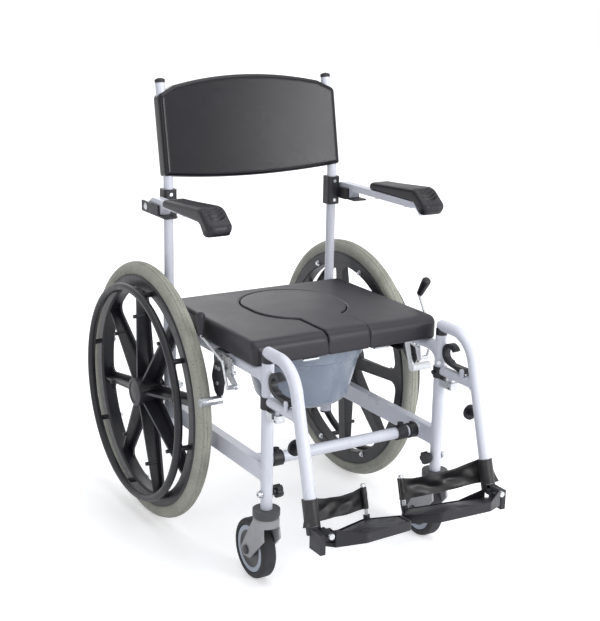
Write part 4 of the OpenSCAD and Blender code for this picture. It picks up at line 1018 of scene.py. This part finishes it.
def stitchTree():
    # short stitches at an even spacing along each path
    tree, entry = newTree("stitchRows", {"Spacing": 0.004, "Stitch Length": 0.0026, "Thread": 0.00045})
    spots = addNode(tree, "GeometryNodeCurveToPoints",
                    {"mode": "LENGTH", "Curve": entry["Geometry"], "Length": entry["Spacing"]}, None).outputs
    rod = addNode(tree, "GeometryNodeMeshCylinder",
                  {"Vertices": 6, "Radius": entry["Thread"], "Depth": entry["Stitch Length"]})
    return endTree(tree, entry, addNode(tree, "GeometryNodeInstanceOnPoints", {
        "Points": spots["Points"], "Instance": rod, "Rotation": spots["Rotation"]}))


def paths(name, lines, closed):
    curve = bpy.data.curves.new(name, "CURVE")
    curve.dimensions = "3D"
    for line in lines:
        spline = curve.splines.new("POLY")
        spline.points.add(len(line) - 1)
        for i, p in enumerate(line):
            spline.points[i].co = (*toWorld(p), 1)
        spline.use_cyclic_u = closed
    return curve


boltHeads, weldBeads, stitchRows = boltTree(), beadTree(), stitchTree()
riders = []  # what was made here, the body it rides on and its material slot


def bolts(name, spots, axis, head, washerR, headSides, body):  # head is its radius and height, in metres
    mesh = bpy.data.meshes.new("spots")
    mesh.from_pydata([toWorld(p) for p in spots], [], [])
    values = {"Axis": axis, "Head Radius": head[0], "Head Height": head[1], "Washer Radius": washerR,
              "Sides": headSides}
    riders.append((growWith(boltHeads, name, mesh, values, platedSteel), body, "plated_steel"))


def welds(name, lines, body):
    values = {"Bead Radius": 0.0017, "Ripple": 0.2, "Ripple Length": 0.003}
    made = growWith(weldBeads, name, paths("beads", lines, True), values, powderCoat, 60)
    riders.append((made, body, "coated_tube"))


stitchSizes = {"Spacing": 0.0042, "Stitch Length": 0.0028, "Thread": 0.00045}
stitchFrom = 63  # the first row of the strap's grid that is clear of the leg
for side, (_, outer, inner, _) in straps.items():
    rows = []
    for skin in (outer, inner):
        for j in (1, -2):
            row, mid = skin[stitchFrom:, j], (outer[stitchFrom:, j] + inner[stitchFrom:, j]) / 2
            rows.append([tuple(p + (p - m) * 0.25) for p, m in zip(row, mid)])
    lines = paths("rows", rows, False)
    made = growWith(stitchRows, "strapStitches" + side.upper(), lines, stitchSizes, thread)
    riders.append((made, "legrest_" + side, "strap_fabric"))

wheelSizes = {"turn": {"l": -9.5, "r": -4.5}, "spokes": 8, "boltR": 249.0, "boltIn": 16.3}
for side, sign in sides.items():
    tyreLow, tyreHigh = lowHigh("wheel_tyre_" + side)
    x, r = (tyreLow.x + tyreHigh.x) / 2 - sign * wheelSizes["boltIn"], wheelSizes["boltR"]
    turns = [math.radians((i + 0.5) * 360 / wheelSizes["spokes"] + wheelSizes["turn"][side])
             for i in range(wheelSizes["spokes"])]
    bolts("handrimBolts" + side.upper(), [(x, r * math.sin(t), axleZ - r * math.cos(t)) for t in turns],
          (-sign, 0, 0), (0.005, 0.0045), 0.0068, 6, "wheel_" + side)
    armLow, armHigh = lowHigh("arm_bar_" + side)
    barX = sign * (abs(armLow.x + armHigh.x) / 2)
    bolts("padBolts" + side.upper(), [(barX, y, armHigh.z - 15) for y in (-150, -265)],
          (0, 0, -1), (0.0048, 0.0034), 0.006, 24, "arm_" + side)
screwX, screwRows = boardHalf - 9.3, (boardFront + 40, seatBack - 50)
bolts("boardScrews", [(s * screwX, y, seatFloor) for s in (-1, 1) for y in screwRows],
      (0, 0, -1), (0.0042, 0.0024), 0.006, 24, "frame")

weldTurns = [2 * math.pi * k / 40 for k in range(40)]


def roundMeets(x0, y0, z0, r, postR, forward):
    # where a level tube along y, at x0 and z0, meets an upright post whose axis stands at y0
    def reach(t):
        return math.sqrt(max(0.04, postR ** 2 - (r * math.cos(t)) ** 2))
    return [(x0 + r * math.cos(t), y0 + forward * reach(t), z0 + r * math.sin(t)) for t in weldTurns]


def boxMeets(x0, y0, z0, wide, high, postR, forward):
    w, h = wide / 2, high / 2
    corners = [(-w, -h), (w, -h), (w, h), (-w, h)]
    rim = [spot for p, q in zip(corners, corners[1:] + corners[:1]) for spot in splitLine(p, q, 10)]
    return [(x0 + x, y0 + forward * math.sqrt(postR ** 2 - x * x), z0 + z) for x, z in rim]


railZ = lowHigh("side_rails")[1].z - tubeR
lowRailLow, lowRailHigh = lowHigh("lower_rails")
lowRail = ((lowRailLow.z + lowRailHigh.z) / 2, 20, lowRailHigh.z - lowRailLow.z)  # middle, width and height
rearLow, rearHigh = lowHigh("rear_posts")
rearR = (rearHigh.y - rearLow.y) / 2
beads = []
crossR, crossOff = 8, 2.5  # the upper rear cross tube where it meets the post, a little before its middle
for s in (-1, 1):
    for y, postR, forward in ((frontY, tubeR + 0.1, 1), (0, rearR + 0.1, -1)):
        beads.append(roundMeets(s * postX, y, railZ, tubeR, postR, forward))
    for y, postR, forward in ((frontY, tubeR + 0.1, 1), (0, rearR + 0.1, -1)):
        beads.append(boxMeets(s * postX, y, *lowRail, postR, forward))
    ring = [(crossOff + crossR * math.cos(t), railZ + crossR * math.sin(t))
            for t in np.linspace(0, 2 * math.pi, 36, endpoint=False)]
    beads.append([(s * (postX - math.sqrt(rearR ** 2 - y ** 2)), y, z) for y, z in ring])
welds("frameWelds", beads, "frame")
branchZ, branchR = hangZ - 100, 11
for side, sign in sides.items():
    ring = [(branchR * math.cos(t), branchZ + branchR * math.sin(t)) for t in weldTurns]
    line = [(sign * postX + x, legAt(z) + math.sqrt(tubeR ** 2 - x * x) / math.cos(legLean), z)
            for x, z in ring]
    welds("legrestWeld" + side.upper(), [line], "legrest_" + side)


# covers and treads made as plain meshes

hubSizes = {"radius": 33.5, "from": 4, "face": 37, "rimWide": 7}
hubAround = 64


def makeHubCover(side):
    # a moulded cap: radius and offset pairs turned round the axle
    low, high = lowHigh("wheel_tyre_" + side)
    trackX = (low.x + high.x) / 2
    r, face, rim = hubSizes["radius"], hubSizes["face"], hubSizes["radius"] - hubSizes["rimWide"]
    profile = [(r, hubSizes["from"]), (r, face - 2.6), (r - 0.8, face - 0.8), (r - 2.6, face), (rim, face),
               (rim - 0.9, face - 1.6), (rim - 1.8, face - 1.4), (rim - 10, face - 0.2), (8, face + 0.5)]
    turns = [2 * math.pi * k / hubAround for k in range(hubAround)]
    points = [(trackX + sides[side] * (face + 0.6), 0, axleZ)]
    for r, out in profile:
        points += [(trackX + sides[side] * out, r * math.cos(t), axleZ + r * math.sin(t)) for t in turns]
    last = len(points) - hubAround
    faces = ringFaces(len(profile), hubAround, 1)
    faces += [[last + k, last + (k + 1) % hubAround, 0] for k in range(hubAround)]
    faces.append([1 + k for k in reversed(range(hubAround))])
    return closedPiece("hubCover" + side.upper(), points, faces, wheelNylon, 30)


for side in sides:
    riders.append((makeHubCover(side), "wheel_" + side, "black_nylon"))

footSizes = {
    "tilt": 19.3,          # degrees that the plate slopes down to the rear
    "hinge": (-42, 176),   # how far the hinge stands before the leg, and its height
    "legHeight": 209,      # where the plate's place along the leg is taken
    "inset": 5.625,        # gap from the plate's outer edge, just inside its rim
    "low": 8.3,
    "top": 17.6,
    "edge": 1.6,
    "stopsAt": 17,         # how far short of the leg it ends
    "cornerRound": 9,
}


def insetRing(outline, middle, inset):  # the outline drawn in towards its middle
    arms = [Vector(p) - middle for p in outline]
    return [middle + v * (1 - inset / v.length) for v in arms]


def makeTread(side):
    # the moulded tread lies in the plate's tray, nearly flush with its rim
    tilt, legY = math.radians(footSizes["tilt"]), legAt(footSizes["legHeight"])
    tipX = postX - footSizes["stopsAt"]
    hingeOff, hingeZ = footSizes["hinge"]
    low, top = footSizes["low"], footSizes["top"]
    middle = Vector((115, -12))
    shape = []
    for p in ((postX + 9, -42), (postX - 64, -90.7), (36, -75), (2, 8), (46, 66), (postX - 5, -21.5)):
        p = Vector(p)
        q = p + (middle - p).normalized() * footSizes["inset"]
        shape.append((min(q.x, tipX), q.y, footSizes["cornerRound"] if p.x < tipX else 3))

    def place(spot, height):
        z = hingeZ + height / math.cos(tilt) - (spot.y - hingeOff) * math.tan(tilt)
        return (sides[side] * spot.x, legY + spot.y, z)

    loop = resample(roundCorners(shape), 6)
    n, points = len(loop), []
    for height, inset in ((low, 0), (top - footSizes["edge"], 0), (top - 0.45, 0.5), (top, 1.6)):
        points += [place(spot, height) for spot in insetRing(loop, middle, inset)]
    upper, centre = len(points) - n, len(points)
    points += [place(middle, low), place(middle, top)]
    faces = ringFaces(4, n) + [[upper + k, upper + (k + 1) % n, centre + 1] for k in range(n)]
    faces += [[(k + 1) % n, k, centre] for k in range(n)]
    return closedPiece("footTread" + side.upper(), points, faces, grainedNylon, 25)


for side in sides:
    riders.append((makeTread(side), "footplate_" + side, "black_nylon"))

coverSizes = {"thick": 2.6, "edge": 0.8, "outAt": 27.9, "pivotDown": 22, "pivotReach": 29}


def barCentre(side):
    # the cross bar is the part of the arm's node that reaches outwards over the tyre
    mesh = nodes["brake_arm_" + side].data
    far = [v.co * 1000 for v in mesh.vertices if abs(v.co.x * 1000) > postX + 60]
    ys, zs = [p.y - axleY for p in far], [p.z for p in far]
    return Vector(((min(ys) + max(ys)) / 2, (min(zs) + max(zs)) / 2))


def makeBrakeCover(side):
    # a thin moulded leaf over the arm, from its pivot down to the cross bar, and the screws that hold it
    pivotZ = railZ - coverSizes["pivotDown"]
    reach = axleZ + coverSizes["pivotReach"]
    pivot = Vector((-math.sqrt(reach ** 2 - (pivotZ - axleZ) ** 2), pivotZ))
    down = (barCentre(side) - pivot).normalized()
    across = Vector((-down.y, down.x))
    thick, edge = coverSizes["thick"], coverSizes["edge"]
    x0, sign = postX + coverSizes["outAt"], sides[side]

    def place(out, spot):
        yz = pivot + down * spot[0] + across * spot[1]
        return (sign * (x0 + out), yz.x, yz.y)

    outline = roundCorners([(-12, -15, 7), (-15, 15, 7), (24, 31, 16), (56, 17, 12), (66, 1, 6),
                            (54, -20, 12), (20, -30, 16)])
    points = []
    for out, inset in ((0, edge), (edge, 0), (thick - edge, 0), (thick, edge)):
        points += [place(out, spot) for spot in insetRing(outline, Vector((24, 0)), inset)]
    faces = cappedRings(points, len(outline))
    cover = closedPiece("brakeCover" + side.upper(), points, faces, grainedNylon, 30)
    riders.append((cover, "pad_arm_" + side, "black_nylon"))
    bolts("brakeScrews" + side.upper(), [place(thick, spot) for spot in ((0, -7), (0, 7), (34, 2))],
          (sign, 0, 0), (0.0036, 0.002), 0.0048, 20, "pad_arm_" + side)


for side in sides:
    makeBrakeCover(side)

# plated angle under the seat's front edge, one on each side, with a slot for its screw
bracketSizes = {"middle": 90, "half": 19, "slotHalf": 11, "from": -3, "to": 29, "slotFrom": 3, "slotTo": 10,
                "low": -7, "high": -4, "skin": 0.35}


def makeBracketPlates():
    b = bracketSizes
    skin, points, faces = b["skin"], [], []
    for sign in (-1, 1):
        first = len(points)
        for z in (b["low"] - skin, b["high"] + skin):
            for half, y0, y1 in ((b["half"] + skin, b["from"] - skin, b["to"] + skin),
                                 (b["slotHalf"] - skin, b["slotFrom"] + skin, b["slotTo"] - skin)):
                points += [(sign * b["middle"] + x, boardFront + y, seatFloor + z)
                           for x, y in ((-half, y0), (half, y0), (half, y1), (-half, y1))]
        for k, m in ((0, 1), (1, 2), (2, 3), (3, 0)):
            rings = [[k, m, m + 8, k + 8], [m + 4, k + 4, k + 12, m + 12], [m, k, k + 4, m + 4],
                     [k + 8, m + 8, m + 12, k + 12]]
            faces += [[first + n for n in ring] for ring in rings]
    return closedPiece("bracketPlates", points, faces, platedSteel, 20)


riders.append((makeBracketPlates(), "frame", "plated_steel"))
print("small pieces:", len(riders))


# the soft pieces and the small pieces ride on their bodies; the nodes that the soft pieces replace are hidden

pads = [(seatCushion, "frame", "seat_pad"), (seatLid, "lid", "seat_lid"), (backPad, "backrest", "back_pad")]
pads += [(armPads[side], "arm_" + side, "arm_pad_" + side) for side in sides]
for piece, body, node in pads:
    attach(piece, body)
    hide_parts(node)
for side in sides:
    piece, _, _, (wide, length, area) = straps[side]
    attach(piece, "legrest_" + side)
    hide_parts("heel_loop_" + side)
    piece, (wide, length) = sleeves[side]
    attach(piece, "footplate_" + side)
for piece, body, slotName in riders:
    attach(piece, body)


# floor, light and camera

def areaLight(name, place, target, power, size, sizeY=None):
    lamp = bpy.data.lights.new(name, "AREA")
    lamp.energy = power
    lamp.shape = "RECTANGLE"
    lamp.size = size
    lamp.size_y = sizeY or size
    holder = addObject(name, lamp)
    holder.location = place
    holder.rotation_euler = (Vector(target) - Vector(place)).to_track_quat("-Z", "Y").to_euler()


# where each lamp stands, what it faces, its power and its size, in metres and watts
lights = {
    "overhead": ((0.2, -0.3, 3.2), (0, 0, 0.4), 40, 2.6),
    "frontRight": ((0.8, -2.45, 1.35), (0.1, 0.1, 0.75), 40, 0.8, 1.5),
    "sideRight": ((3.0, -1.2, 1.5), (0, 0, 0.5), 8.5, 1.8),
    "stripLeft": ((-2.4, -1.9, 1.5), (0, 0, 0.7), 10, 0.5, 1.8),
    "rimBack": ((0.6, 3.0, 2.0), (0, 0, 0.6), 16, 2.0),
}
for name, spec in lights.items():
    areaLight(name, *spec)


def whiteRays(tree):  # one for the rays that should find the white backdrop
    rays = addNode(tree, "ShaderNodeLightPath", output=None).outputs
    one = mathNode(tree, "MAXIMUM", rays["Is Camera Ray"], rays["Is Glossy Ray"])
    return mathNode(tree, "MAXIMUM", one, rays["Is Transmission Ray"])


worldLight = {"soft": ("#f4f6fb", 0.47), "backdrop": ("#ffffff", 1.0)}
world = bpy.data.worlds.new("paleRoom")
bpy.context.scene.world = world
world.use_nodes = True
tree = world.node_tree
tree.nodes.clear()
softSky, whiteSky = (addNode(tree, "ShaderNodeBackground", {"Color": toLinear(colour), "Strength": strength})
                     for colour, strength in worldLight.values())
pick = addNode(tree, "ShaderNodeMixShader", {0: whiteRays(tree), 1: softSky, 2: whiteSky})
addNode(tree, "ShaderNodeOutputWorld", {"Surface": pick}, None)

# the floor glows a little for the rays that look at it, and more away from the object, past the lamps' reach
floorSizes = {"reach": 14, "nearLift": 0.42, "farLift": 0.8, "near": 0.6, "far": 3.5}
mesh = bpy.data.meshes.new("studioFloor")
corners = ((-1, -1), (1, -1), (1, 1), (-1, 1))
reach = floorSizes["reach"]
mesh.from_pydata([(reach * x, reach * y, 0) for x, y in corners], [], [(0, 1, 2, 3)])
studioFloor = addObject("studioFloor", mesh)
vinyl = Finish("whiteStudioVinyl", "#f2f2f3", 0.6, Emission_Color=(1, 1, 1, 1))
away = mathNode(vinyl.tree, "LENGTH", vinyl.place, kind="ShaderNodeVectorMath", output="Value")
lift = vinyl.spread(away, *[floorSizes[key] for key in ("nearLift", "farLift", "near", "far")])
vinyl.wire(Emission_Strength=mathNode(vinyl.tree, "MULTIPLY", whiteRays(vinyl.tree), lift))
mesh.materials.append(vinyl.material)

cameraSizes = {"yaw": 31.29, "pitch": 15.35, "roll": 0.019, "lens": 72.95, "sensor": 36,
               "place": (-1.41253, -2.32908, 1.25703)}
yaw, pitch, roll = math.radians(cameraSizes["yaw"]), math.radians(cameraSizes["pitch"]), cameraSizes["roll"]
forward = Vector((math.sin(yaw) * math.cos(pitch), math.cos(yaw) * math.cos(pitch), -math.sin(pitch)))
level = Vector((math.cos(yaw), -math.sin(yaw), 0))
upright = level.cross(forward)
right = level * math.cos(roll) + upright * math.sin(roll)
up = upright * math.cos(roll) - level * math.sin(roll)
camera = addObject("studioCamera", bpy.data.cameras.new("studioCamera"))
camera.data.lens = cameraSizes["lens"]
camera.data.sensor_width = cameraSizes["sensor"]
turn = Matrix((right, up, -forward)).transposed().to_4x4()
camera.matrix_world = Matrix.Translation(cameraSizes["place"]) @ turn
bpy.context.scene.camera = camera
bpy.context.scene.view_settings.view_transform = "Standard"
